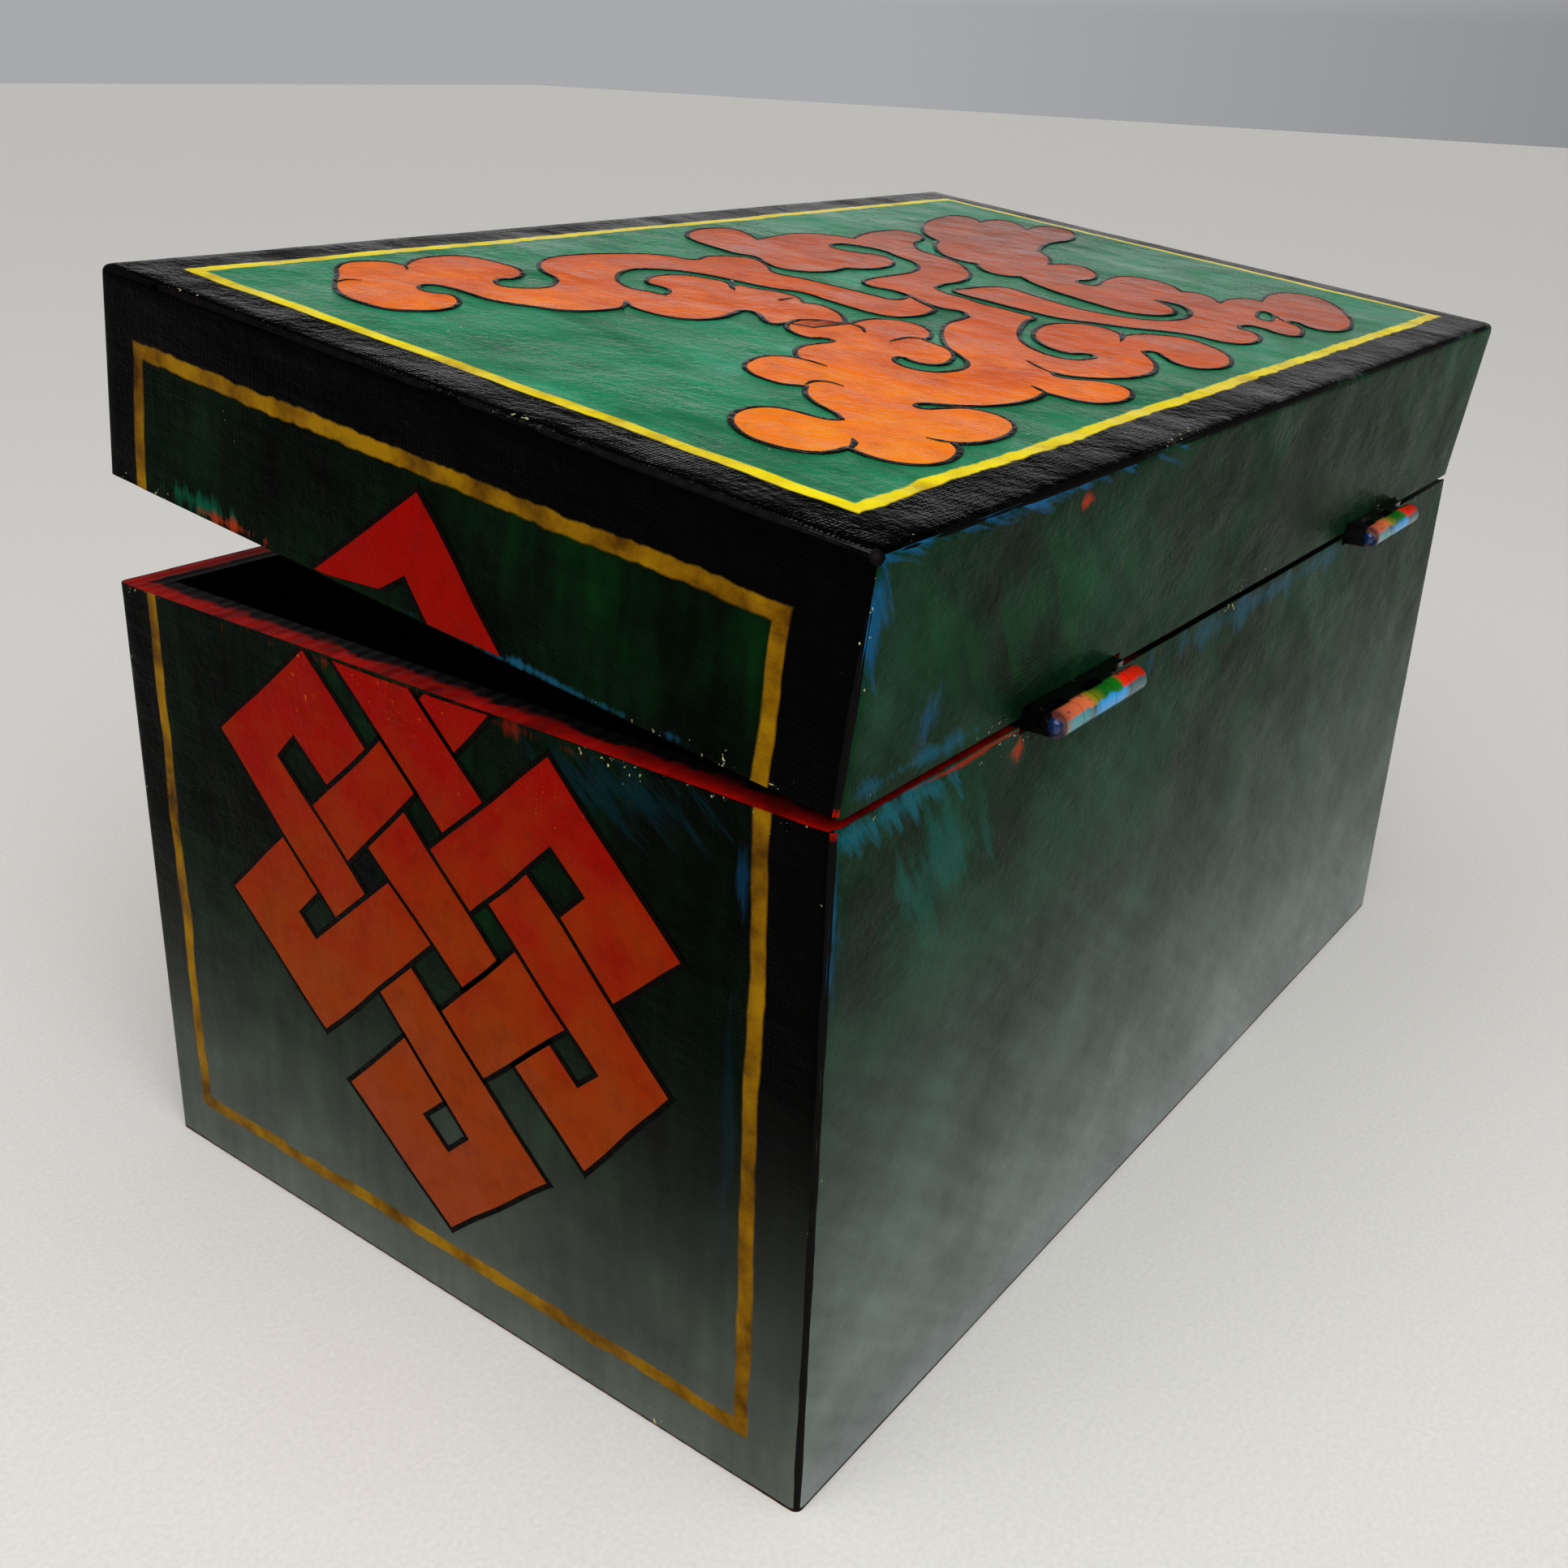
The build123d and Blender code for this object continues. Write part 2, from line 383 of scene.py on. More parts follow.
@dataclass(frozen=True)
class PanelPaint:
    """Oil paint on primed linen, laid out for one face of the box.

    The eye gets a mottled dark ground with brush strokes in it, a black border, a hand-drawn yellow
    line between the two, stray strokes of blue and red, a painted sheen of the floor's reflection
    that greys it towards the floor, the linen's threads, and a varnish over all of it.
    """

    name: str
    body: Body
    across: int
    up: int
    extent: tuple[float, float, float, float]
    line: tuple[float, float, float, float]
    ground: Stops
    yellow: Stops = ((0.3, "#6A4206"), (0.45, "#B07A0A"), (0.65, "#D8A010"))
    line_width: float = 3.1
    border: Stops = ((0.35, "#000000"), (0.6, "#010101"), (0.8, "#070604"))
    dabs: tuple[Dabs, ...] = ()
    chip_colour: str = "#B9B48C"
    chips: float = 0.68
    # Painted sheen: the floor's reflection painted in, greying the colour towards the floor
    painted_sheen: str = "#7C847B"
    painted_sheen_height: float = 95.0
    painted_sheen_amount: float = 0.0
    painted_sheen_power: float = 2.0
    slant: float = 0.0
    stroke_length: float = 7.0
    hand_reach: float = 20.0
    hand_drift: float = 2.2
    gloss: Gloss = WALL_GLOSS

    def rectangle_distance(
        self,
        add: AddNode,
        parts: bpy.types.NodeOutputs,
        bounds: tuple[float, float, float, float],
    ) -> bpy.types.NodeSocket:
        """Adds the distance to a rectangle's edge, negative inside it.

        Args:
            add: Adds a node to the material.
            parts: The separated place in millimetres.
            bounds: The rectangle's left, right, low and high edges.

        Returns:
            The socket with the distance in millimetres.
        """
        reach = []
        for part, low, high in ((self.across, *bounds[:2]), (self.up, *bounds[2:])):
            centred = add("Math", (parts[part], (low + high) / 2), operation="SUBTRACT")
            size = add("Math", (centred,), operation="ABSOLUTE")
            reach.append(add("Math", (size, (high - low) / 2), operation="SUBTRACT"))
        return add("Math", reach, operation="MAXIMUM")

    def bristles(
        self, add: AddNode, spot: bpy.types.NodeSocket, slant: float = 0.0
    ) -> bpy.types.NodeSocket:
        """Stretches a pattern up the face, as a brush does.

        Args:
            add: Adds a node to the material.
            spot: The place in millimetres.
            slant: How far the strokes lean, in radians.

        Returns:
            The socket with the stretched place.
        """
        scale = [1.0, 1.0, 1.0]
        scale[self.up] = self.stroke_length
        turn = [0.0, 0.0, 0.0]
        outward = 3 - self.across - self.up
        turn[outward] = slant
        return add(
            "Mapping", {"Vector": spot, "Rotation": turn, "Scale": scale}, vector_type="TEXTURE"
        )

    def paint_dabs(
        self,
        add: AddNode,
        colour: bpy.types.NodeSocket,
        spot: bpy.types.NodeSocket,
        parts: bpy.types.NodeOutputs,
    ) -> bpy.types.NodeSocket:
        """Adds the stray strokes.

        Args:
            add: Adds a node to the material.
            colour: The colour below them.
            spot: The place in millimetres.
            parts: The separated place.

        Returns:
            The socket with the colour.
        """
        near_share, bare, covered = 0.42, 0.7, 0.88
        for dabs in self.dabs:
            shares = []
            for part, middle, reach in zip((self.across, self.up), dabs.middle, dabs.reach):
                offset = add("Math", (parts[part], middle), operation="SUBTRACT")
                away = add("Math", (offset,), operation="ABSOLUTE")
                shares.append(add("MapRange", (away, 0.0, reach, 1.0, 0.0)))
            near = add("Math", shares, operation="MULTIPLY")
            place_share = add("Math", (near, near_share), operation="MULTIPLY")
            stretched = self.bristles(add, spot, dabs.slant)
            bristle = {"Vector": stretched, "Scale": 1 / dabs.size, "Detail": 6.0}
            strokes = add("TexNoise", {**bristle, "Roughness": 0.65})
            cover = add("Math", (place_share, strokes), operation="ADD")
            share = add("MapRange", (cover, bare, covered, 0.0, dabs.amount))
            layers = {"Factor": share, "A": colour, "B": linear(dabs.colour)}
            colour = add("Mix", layers, "Result", data_type="RGBA")
        return colour

    def paint_chips(
        self,
        add: AddNode,
        colour: bpy.types.NodeSocket,
        spot: bpy.types.NodeSocket,
        parts: bpy.types.NodeOutputs,
    ) -> bpy.types.NodeSocket:
        """Adds cream specks where the paint has worn off along the edges.

        Args:
            add: Adds a node to the material.
            colour: The colour below them.
            spot: The place in millimetres.
            parts: The separated place.

        Returns:
            The socket with the colour.
        """
        edge = self.rectangle_distance(add, parts, self.extent)
        # Specks are likelier within 5 mm of an edge, and in some areas of 24 mm than in others
        first, last, most = self.chips + 0.13, self.chips + 0.17, 0.9
        worn = add("MapRange", (edge, -5.0, -0.5, 0.0, 0.12))
        areas = add("TexNoise", {"Vector": spot, "Scale": 1 / 24.0, "Detail": 2.0})
        where = add("MapRange", (areas, 0.42, 0.66, -0.14, 0.06))
        specks = add("TexNoise", {"Vector": spot, "Scale": 1 / 1.1, "Detail": 2.0})
        chance = add("Math", (worn, specks), operation="ADD")
        chance = add("Math", (chance, where), operation="ADD")
        share = add("MapRange", (chance, first, last, 0.0, most))
        layers = {"Factor": share, "A": colour, "B": linear(self.chip_colour)}
        return add("Mix", layers, "Result", data_type="RGBA")

    def make(self) -> bpy.types.Material:
        """Builds the material."""
        material, add = fresh_material(self.name)
        spot = box_millimetres(add, self.body)
        # A slow drift of the place lets straight edges waver as a hand-drawn line does
        wander = {"Vector": spot, "Scale": 1 / self.hand_reach, "Detail": 3.0}
        drift = add("TexNoise", wander, "Color")
        centred = add("VectorMath", (drift, (0.5, 0.5, 0.5)), operation="SUBTRACT")
        hand = add("VectorMath", {0: centred, "Scale": self.hand_drift}, operation="SCALE")
        drawn = add("VectorMath", (spot, hand), operation="ADD")
        parts = add("SeparateXYZ", (drawn,)).node.outputs

        # Ground: slow patches of dark and light paint, crossed by the brush's strokes
        patch_share, stroke_share = 0.74, 0.26
        patches = add(
            "TexNoise", {"Vector": spot, "Scale": 1 / 34.0, "Detail": 7.0, "Roughness": 0.62}
        )
        stretched = self.bristles(add, spot, self.slant)
        strokes = add("TexNoise", {"Vector": stretched, "Scale": 1 / 4.0, "Detail": 5.0})
        slow = add("Math", (patches, patch_share), operation="MULTIPLY")
        quick = add("Math", (strokes, stroke_share), operation="MULTIPLY")
        blend = add("Math", (slow, quick), operation="ADD")
        ground = add("ValToRGB", (blend,), stops=self.ground)
        colour = self.paint_dabs(add, ground, spot, parts)

        # Black border outside the line
        soft = 0.5
        distance = self.rectangle_distance(add, parts, self.line)
        outside = add("MapRange", (distance, -soft, soft))
        black = add("ValToRGB", (strokes,), stops=self.border)
        layers = {"Factor": outside, "A": colour, "B": black}
        colour = add("Mix", layers, "Result", data_type="RGBA")

        # Painted sheen, the floor's reflection painted into the colour: it thickens towards the
        # floor and follows the ground's patches
        if self.painted_sheen_amount > 0:
            low = add("MapRange", (parts[2], 0.0, self.painted_sheen_height, 1.0, 0.0))
            low = add("Math", (low, self.painted_sheen_power), operation="POWER")
            cover = add("MapRange", (blend, 0.35, 0.65, 0.6, 1.0))
            share = add("Math", (low, cover), operation="MULTIPLY")
            share = add("Math", (share, self.painted_sheen_amount), operation="MULTIPLY")
            layers = {"Factor": share, "A": colour, "B": linear(self.painted_sheen)}
            colour = add("Mix", layers, "Result", data_type="RGBA")
        colour = self.paint_chips(add, colour, spot, parts)

        # Yellow line, drawn by hand: its width and its cover change along it
        if self.line_width > 0:
            half, change, soft = self.line_width / 2, 0.3, 0.25
            size = add("Math", (distance,), operation="ABSOLUTE")
            uneven = add("MapRange", (strokes, *NOISE_ENDS, -change, change))
            inner = add("Math", (size, uneven), operation="ADD")
            on_line = add("MapRange", (inner, half + soft, half - soft))
            cover = add(
                "TexNoise", {"Vector": spot, "Scale": 1 / 13.0, "Detail": 6.0, "Roughness": 0.6}
            )
            yellow = add("ValToRGB", (cover,), stops=self.yellow)
            layers = {"Factor": on_line, "A": colour, "B": yellow}
            colour = add("Mix", layers, "Result", data_type="RGBA")

        normal = linen_relief(add, spot, ("XYZ"[self.across], "XYZ"[self.up]))
        varnish(add, colour, normal, spot, self.gloss)
        return material


@dataclass(frozen=True)
class BrushedPaint:
    """One colour of oil paint brushed over the ground, as in the knot and the scroll.

    The eye gets a colour that drifts from one hue to another along the ornament, with streaks and
    small flecks of the paint below, on the same linen and under the same varnish.
    """

    name: str
    body: Body
    threads: tuple[str, str]
    start: tuple[float, float, float]
    end: tuple[float, float, float]
    hues: Stops
    shade: str
    fleck: str
    fleck_amount: float = 0.0
    fleck_place: tuple[float, float] = (0.0, 1.0)
    gloss: Gloss = WALL_GLOSS

    def make(self) -> bpy.types.Material:
        """Builds the material."""
        material, add = fresh_material(self.name)
        spot = box_millimetres(add, self.body)
        way = Vector(self.end) - Vector(self.start)
        offset = add("VectorMath", (spot, self.start), operation="SUBTRACT")
        along = add(
            "VectorMath", (offset, way / way.length_squared), "Value", operation="DOT_PRODUCT"
        )
        shift, most_shade = 0.16, 0.35
        drift = add(
            "TexNoise", {"Vector": spot, "Scale": 1 / 14.0, "Detail": 6.0, "Roughness": 0.6}
        )
        shifted = add("MapRange", (drift, *NOISE_ENDS, -shift, shift))
        place_along = add("Math", (along, shifted), operation="ADD")
        hue = add("ValToRGB", (place_along,), stops=self.hues)
        streaks = add(
            "TexNoise", {"Vector": spot, "Scale": 1 / 5.0, "Detail": 8.0, "Roughness": 0.7}
        )
        thin = add("MapRange", (streaks, 0.46, 0.78, 0.0, most_shade))
        layers = {"Factor": thin, "A": hue, "B": linear(self.shade)}
        colour = add("Mix", layers, "Result", data_type="RGBA")

        # Flecks of the paint below grow likelier through their part of the ornament
        inside = add("MapRange", (along, *self.fleck_place, 0.0, 0.12))
        grains = add(
            "TexNoise", {"Vector": spot, "Scale": 1 / 1.6, "Detail": 4.0, "Roughness": 0.6}
        )
        chance = add("Math", (grains, inside), operation="ADD")
        flecks = add("MapRange", (chance, 0.74, 0.82, 0.0, self.fleck_amount))
        layers = {"Factor": flecks, "A": colour, "B": linear(self.fleck)}
        colour = add("Mix", layers, "Result", data_type="RGBA")
        varnish(add, colour, linen_relief(add, spot, self.threads), spot, self.gloss)
        return material


@dataclass(frozen=True)
class BoardPaint:
    """Softwood boards: red paint on the rims, a near-black inside, bare wood underneath.

    The eye gets a red rim that a ragged brush edge turns into a near-black inside, partly dark
    paint and partly painted shade, and a long, stained grain on the bottom's underside.
    """

    name: str
    body: Body
    rim_height: float
    half_length: float = 152.5
    half_width: float = 92.2
    red_reach: float = 5.4
    back_red_end: float = 56.0
    back_red_fade: float = 12.0
    back_seam: tuple[float, float] = (4.0, 7.0)
    red: str = "#A81004"
    deep_red: str = "#640402"
    # Near-black of the inside: dark paint, made as dark as the box's shaded inside
    inside: str = "#0A0605"
    bare: str = "#7A5230"
    grain: str = "#3E2412"

    def make(self) -> bpy.types.Material:
        """Builds the material."""
        material, add = fresh_material(self.name)
        spot = box_millimetres(add, self.body)
        parts = add("SeparateXYZ", (spot,)).node.outputs
        ragged = add("TexNoise", {"Vector": spot, "Scale": 0.12, "Detail": 6.0, "Roughness": 0.7})

        # How far in from the outside a point of the rim lies
        depths = []
        for part, half in ((0, self.half_length), (1, self.half_width)):
            size = add("Math", (parts[part],), operation="ABSOLUTE")
            depths.append(add("Math", (half, size), operation="SUBTRACT"))
        raggedness, soft = 2.2, 0.8
        depth = add("Math", depths, operation="MINIMUM")
        uneven = add("MapRange", (ragged, *NOISE_ENDS, -raggedness, raggedness))
        inward = add("Math", (depth, uneven), operation="ADD")
        on_rim = add("MapRange", (inward, self.red_reach + soft, self.red_reach - soft))
        rise = add("Math", (parts[2], self.rim_height), operation="SUBTRACT")
        gap = add("Math", (rise,), operation="ABSOLUTE")
        none_beyond, full_within = 1.6, 0.6
        level = add("MapRange", (gap, none_beyond, full_within))
        red_share = add("Math", (on_rim, level), operation="MULTIPLY")
        # The back's seam is black beyond the near hinge
        fade_start = self.back_red_end - self.back_red_fade
        along = add("MapRange", (parts[0], fade_start, self.back_red_end))
        outer, inner = (self.half_width - depth for depth in self.back_seam)
        forward = add("MapRange", (parts[1], outer, inner))
        kept = add("Math", (along, forward), operation="MAXIMUM")
        red_share = add("Math", (red_share, kept), operation="MULTIPLY")
        red = add("ValToRGB", (ragged,), stops=((0.35, self.deep_red), (0.62, self.red)))
        # The inside: dark paint made as dark as the shade inside the box, so partly painted shade
        dark = add("ValToRGB", (ragged,), stops=((0.3, "#040303"), (0.7, self.inside)))
        layers = {"Factor": red_share, "A": dark, "B": red}
        colour = add("Mix", layers, "Result", data_type="RGBA")

        # Bare wood under the bottom, with rings 4 mm apart that run along the box
        squeezed = add("VectorMath", (spot, (0.03, 1.0, 1.0)), operation="MULTIPLY")
        ring = {"Vector": squeezed, "Scale": 0.0785, "Distortion": 6.0}
        ring |= {"Detail": 4.0, "Detail Scale": 0.4}
        rings = add("TexWave", ring, "Fac", bands_direction="Y")
        wood = add("ValToRGB", (rings,), stops=((0.1, self.grain), (0.75, self.bare)))
        underneath = add("MapRange", (parts[2], 0.35, 0.15))
        layers = {"Factor": underneath, "A": colour, "B": wood}
        colour = add("Mix", layers, "Result", data_type="RGBA")
        relief = add("Math", (rings, ragged), operation="ADD")
        normal = add("Bump", {"Height": relief, "Strength": 0.6, "Distance": 0.12 * MM})
        shine = {"Roughness": 0.5, "IOR": 1.5, "Specular IOR Level": 0.12}
        shader = add("BsdfPrincipled", {"Base Color": colour, "Normal": normal, **shine})
        add("OutputMaterial", {"Surface": shader})
        return material


@dataclass(frozen=True)
class HingePaint:
    """Steel hinge painted over by hand, thinly enough for the joints between knuckles to show.

    The eye gets bands of blue, green, orange and red along the barrel, redder and greener on its
    upper side, a dark blue pin head, and a painted shadow, black on the side towards the wall,
    where the notch's shade falls.
    """

    name: str
    middle: float
    length: float = 31.8
    pin_head: float = 1.4
    upper_from: tuple[float, float] = (0.9, 1.5)
    # How far towards the wall from the barrel's axis the painted shadow of the notch starts and is
    # full
    notch_shadow_from: tuple[float, float] = (0.3, 1.0)
    lower: Stops = (
        (0.0, "#3A5A5E"),
        (0.22, "#46686C"),
        (0.27, "#2A9CE0"),
        (0.58, "#2C9AD8"),
        (0.64, "#1C4A54"),
        (0.70, "#3E8E96"),
        (0.88, "#4F98A0"),
        (0.94, "#8A6A5A"),
        (0.965, "#0C2E5C"),
    )
    upper: Stops = (
        (0.0, "#B02A10"),
        (0.25, "#F02A0A"),
        (0.30, "#1F7A22"),
        (0.48, "#1B6A20"),
        (0.60, "#8C8A14"),
        (0.68, "#E07A4A"),
        (0.90, "#C86A4C"),
        (0.945, "#8A4A3A"),
        (0.965, "#0C2E5C"),
    )
    # Black of the painted shadow in the notch
    painted_notch_shadow: str = "#050404"
    steel: str = "#6E6C66"

    def make(self) -> bpy.types.Material:
        """Builds the material."""
        material, add = fresh_material(self.name)
        spot = box_millimetres(add, Body.BASE)
        parts = add("SeparateXYZ", (spot,)).node.outputs
        smear = add("TexNoise", {"Vector": spot, "Scale": 1 / 2.8, "Detail": 6.0})
        start = self.middle - self.length / 2
        end = start + self.length + self.pin_head
        along = add("MapRange", (parts[0], start, end))
        # How far the bands' ends and their lower edge waver: a share of the length, millimetres
        shift, waver = 0.02, 0.4
        band = add(
            "Math", (along, add("MapRange", (smear, *NOISE_ENDS, -shift, shift))), operation="ADD"
        )
        low = add("ValToRGB", (band,), stops=self.lower)
        high = add("ValToRGB", (band,), stops=self.upper)
        level = add(
            "Math",
            (parts[2], add("MapRange", (smear, *NOISE_ENDS, -waver, waver))),
            operation="ADD",
        )
        heights = (HINGE.height + rise for rise in self.upper_from)
        raised = add("MapRange", (level, *heights))
        colour = add("Mix", {"Factor": raised, "A": low, "B": high}, "Result", data_type="RGBA")
        # Painted shadow: black on the side towards the wall, where the notch's shade falls
        depths = (HINGE.back - depth for depth in self.notch_shadow_from)
        in_notch_shadow = add("MapRange", (parts[1], *depths))
        rubbed = add("MapRange", (smear, 0.64, 0.7, 0.0, 0.7))
        for share, cover in ((in_notch_shadow, self.painted_notch_shadow), (rubbed, self.steel)):
            layers = {"Factor": share, "A": colour, "B": linear(cover)}
            colour = add("Mix", layers, "Result", data_type="RGBA")
        normal = add("Bump", {"Height": smear, "Strength": 0.7, "Distance": 0.25 * MM})
        shine = {"Roughness": 0.3, "Coat Weight": 0.3, "Coat Roughness": 0.15}
        metal = {"Base Color": colour, "Metallic": rubbed, "Normal": normal}
        shader = add("BsdfPrincipled", {**metal, **shine})
        add("OutputMaterial", {"Surface": shader})
        return material


@dataclass(frozen=True)
class PlainSteel:
    """Mild steel of nails and screws, drawn or turned, with a thin brown tarnish.

    The eye gets a grey metal with fine scratches and brownish patches.
    """

    name: str
    bright: str = "#9A9890"
    tarnish: str = "#5B4632"

    def make(self) -> bpy.types.Material:
        """Builds the material."""
        material, add = fresh_material(self.name)
        spot = box_millimetres(add, Body.BASE)
        patches = add("TexNoise", {"Vector": spot, "Scale": 0.9, "Detail": 5.0})
        mixed = add("ValToRGB", (patches,), stops=((0.42, self.bright), (0.62, self.tarnish)))
        scratches = add("TexNoise", {"Vector": spot, "Scale": 6.0, "Detail": 3.0})
        normal = add("Bump", {"Height": scratches, "Strength": 0.4, "Distance": 0.03 * MM})
        rough = add("MapRange", (patches, 0.4, 0.65, 0.28, 0.6))
        shader = add(
            "BsdfPrincipled",
            {"Base Color": mixed, "Metallic": 1.0, "Roughness": rough, "Normal": normal},
        )
        add("OutputMaterial", {"Surface": shader})
        return material


# Drawing with paint on a face


def read_outline(text: str) -> Outline:
    """Reads an outline's points.

    Args:
        text: Pairs of millimetres parted by commas, with a star after each sharp corner.

    Returns:
        The points, each with whether it is a sharp corner.
    """
    points = []
    for pair in text.split(", "):
        across, up = pair.rstrip("*").split()
        points.append((float(across), float(up), pair.endswith("*")))
    return points


def draw_curve(name: str, outlines: Sequence[Outline], closed: bool) -> bpy.types.Object:
    """Draws smooth outlines as one flat curve, with sharp corners where they are marked.

    Args:
        name: The curve's name.
        outlines: The outlines in the drawing's plane.
        closed: Whether each outline ends where it began.

    Returns:
        The curve.
    """
    deselect_all()
    bpy.ops.curve.primitive_bezier_circle_add(location=(0, 0, 0))
    drawn = bpy.context.object
    drawn.name = name
    drawn.data.splines.clear()
    for outline in outlines:
        spline = drawn.data.splines.new("BEZIER")
        spline.bezier_points.add(len(outline) - 1)
        spline.use_cyclic_u = closed
        for point, (across, up, sharp) in zip(spline.bezier_points, outline):
            point.co = (across * MM, up * MM, 0.0)
            point.handle_left_type = "VECTOR" if sharp else "AUTO"
            point.handle_right_type = "VECTOR" if sharp else "AUTO"
    drawn.data.resolution_u = 5
    return drawn


def fill_shape(
    name: str, outlines: Sequence[Outline], thickness: float, height: float
) -> bpy.types.Object:
    """Makes a flat layer of paint inside outlines; an outline inside another one is a hole.

    Args:
        name: The layer's name.
        outlines: The closed outlines.
        thickness: The layer's thickness.
        height: How far above the drawing's plane its underside lies.

    Returns:
        The layer, lying in the drawing's plane.
    """
    layer = draw_curve(name, outlines, closed=True)
    layer.data.dimensions = "2D"
    layer.data.fill_mode = "BOTH"
    bpy.ops.object.convert(target="MESH")
    thicken(layer, thickness, height)
    return layer


def thicken(layer: bpy.types.Object, thickness: float, height: float) -> None:
    """Gives a flat layer its thickness and lifts it off the drawing's plane.

    Args:
        layer: A flat mesh in the drawing's plane.
        thickness: How thick it gets.
        height: How far above the plane its underside lies.
    """
    make_active(layer)
    bpy.ops.object.mode_set(mode="EDIT")
    bpy.ops.mesh.select_all(action="SELECT")
    bpy.ops.mesh.remove_doubles(threshold=SAME_PLACE * MM)
    bpy.ops.mesh.extrude_region_move(TRANSFORM_OT_translate={"value": (0, 0, thickness * MM)})
    bpy.ops.mesh.select_all(action="SELECT")
    bpy.ops.mesh.normals_make_consistent(inside=False)
    bpy.ops.transform.translate(value=(0, 0, height * MM))
    bpy.ops.object.mode_set(mode="OBJECT")


def draw_lines(
    name: str,
    outlines: Sequence[Outline],
    half_width: float,
    height: float,
    closed: bool = False,
) -> bpy.types.Object:
    """Makes brush lines, which swell and thin as the brush is pressed.

    Args:
        name: The lines' name.
        outlines: The lines' points.
        half_width: Half of a line's width where the brush is pressed most.
        height: How far above the drawing's plane the lines' middle lies.
        closed: Whether each line ends where it began; an open one is thin at its ends.

    Returns:
        The lines, lying in the drawing's plane.
    """
    # The press is a share of the full one: its mean, its change, and the least of all; an open
    # line starts and ends at a smaller share
    mean_press, press_change, least_press, end_press = 0.82, 0.36, 0.2, 0.35
    changes_per_metre = 60
    flatness = 0.14
    lines = draw_curve(name, outlines, closed)
    lines.data.dimensions = "3D"
    lines.data.bevel_depth = half_width * MM
    lines.data.bevel_resolution = 1
    lines.data.use_fill_caps = True
    for spline in lines.data.splines:
        last = len(spline.bezier_points) - 1
        for index, point in enumerate(spline.bezier_points):
            press = mean_press + press_change * noise.noise(point.co * changes_per_metre)
            if not closed:
                along = min(1.0, (index + 0.25) / max(last, 1))
                press *= end_press + (1 - end_press) * math.sin(math.pi * along)
            point.radius = max(least_press, press)
    bpy.ops.object.convert(target="MESH")
    bpy.ops.object.mode_set(mode="EDIT")
    bpy.ops.mesh.select_all(action="SELECT")
    bpy.ops.transform.resize(value=(1, 1, flatness), center_override=(0, 0, 0))
    bpy.ops.transform.translate(value=(0, 0, height * MM))
    bpy.ops.mesh.remove_doubles(threshold=0.005 * MM)
    bpy.ops.mesh.normals_make_consistent(inside=False)
    bpy.ops.object.mode_set(mode="OBJECT")
    bpy.ops.object.shade_smooth()
    return lines


def fill_polygon(name: str, corners: Sequence[Point]) -> bpy.types.Object:
    """Makes one flat straight-sided shape in the drawing's plane.

    Args:
        name: The shape's name.
        corners: Its corners, in order.

    Returns:
        The shape.
    """
    deselect_all()
    bpy.ops.mesh.primitive_circle_add(vertices=len(corners), radius=MM, fill_type="NGON")
    shape = bpy.context.object
    shape.name = name
    for vertex, (across, up) in zip(shape.data.vertices, corners):
        vertex.co = (across * MM, up * MM, 0.0)
    return shape


def draw_by_hand(layer: bpy.types.Object) -> None:
    """Makes straight edges waver as a hand-drawn line does.

    Args:
        layer: A flat mesh in the drawing's plane.
    """
    # How far apart the cuts are that let an edge bend, how far it may stray, and over what length
    spacing, drift, reach = 6.0, 0.5, 16
    make_active(layer)
    bpy.ops.object.mode_set(mode="EDIT")
    low = [min(v.co[axis] for v in layer.data.vertices) / MM for axis in (0, 1)]
    high = [max(v.co[axis] for v in layer.data.vertices) / MM for axis in (0, 1)]
    for axis, normal in ((0, (1, 0, 0)), (1, (0, 1, 0))):
        for step in range(1, int((high[axis] - low[axis]) / spacing) + 1):
            cut = [0.0, 0.0, 0.0]
            cut[axis] = (low[axis] + step * spacing) * MM
            bpy.ops.mesh.select_all(action="SELECT")
            bpy.ops.mesh.bisect(plane_co=cut, plane_no=normal)
    bpy.ops.object.mode_set(mode="OBJECT")
    for vertex in layer.data.vertices:
        pull = noise.noise_vector(vertex.co / (reach * MM)) * drift * MM
        vertex.co.x += pull.x
        vertex.co.y += pull.y


def lay_on(piece: bpy.types.Object, face: Face, distance: float, body: Body) -> None:
    """Lays a drawing on a face of the box and makes it move with its body.

    Args:
        piece: The drawing.
        face: The face.
        distance: How far the face is from the box's middle.
        body: The body that it rides on; on the lid it takes the lid's turn at rest.
    """
    move = face.lay(distance)
    if body is Body.LID:
        move = HINGE.turn() @ move
    place(piece, move)
    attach(piece, body.value)


# The sub-assemblies


@dataclass
class BoxSizes:
    """The outside sizes that the paint and the cloth follow."""

    length: float = 305.0
    width: float = 184.4
    rim: float = 136.4
    lid_rim: float = 138.4
    lid_top: float = 181.2
    cloth_start: float = 0.8
    cloth_sink: float = 0.4
    round_edge: float = 2.3
    near_hinge: float = 76.9
    far_hinge: float = -85.9
    notch_half: float = 18.9
    flat_length: float = 300.0
    flat_width: float = 179.4

    @property
    def half_length(self) -> float:
        """Half of the cloth's outside length."""
        return self.length / 2 - self.cloth_sink

    @property
    def half_width(self) -> float:
        """Half of the cloth's outside width."""
        return self.width / 2 - self.cloth_sink

    @property
    def notch_sides(self) -> list[float]:
        """Where the hinge notches start and end, along the box."""
        hinges = (self.far_hinge, self.near_hinge)
        return [hinge + side for hinge in hinges for side in (-self.notch_half, self.notch_half)]

    @property
    def cloth_top(self) -> float:
        """Height of the cloth on the closed lid."""
        return self.lid_top - self.cloth_sink


SIZES = BoxSizes()


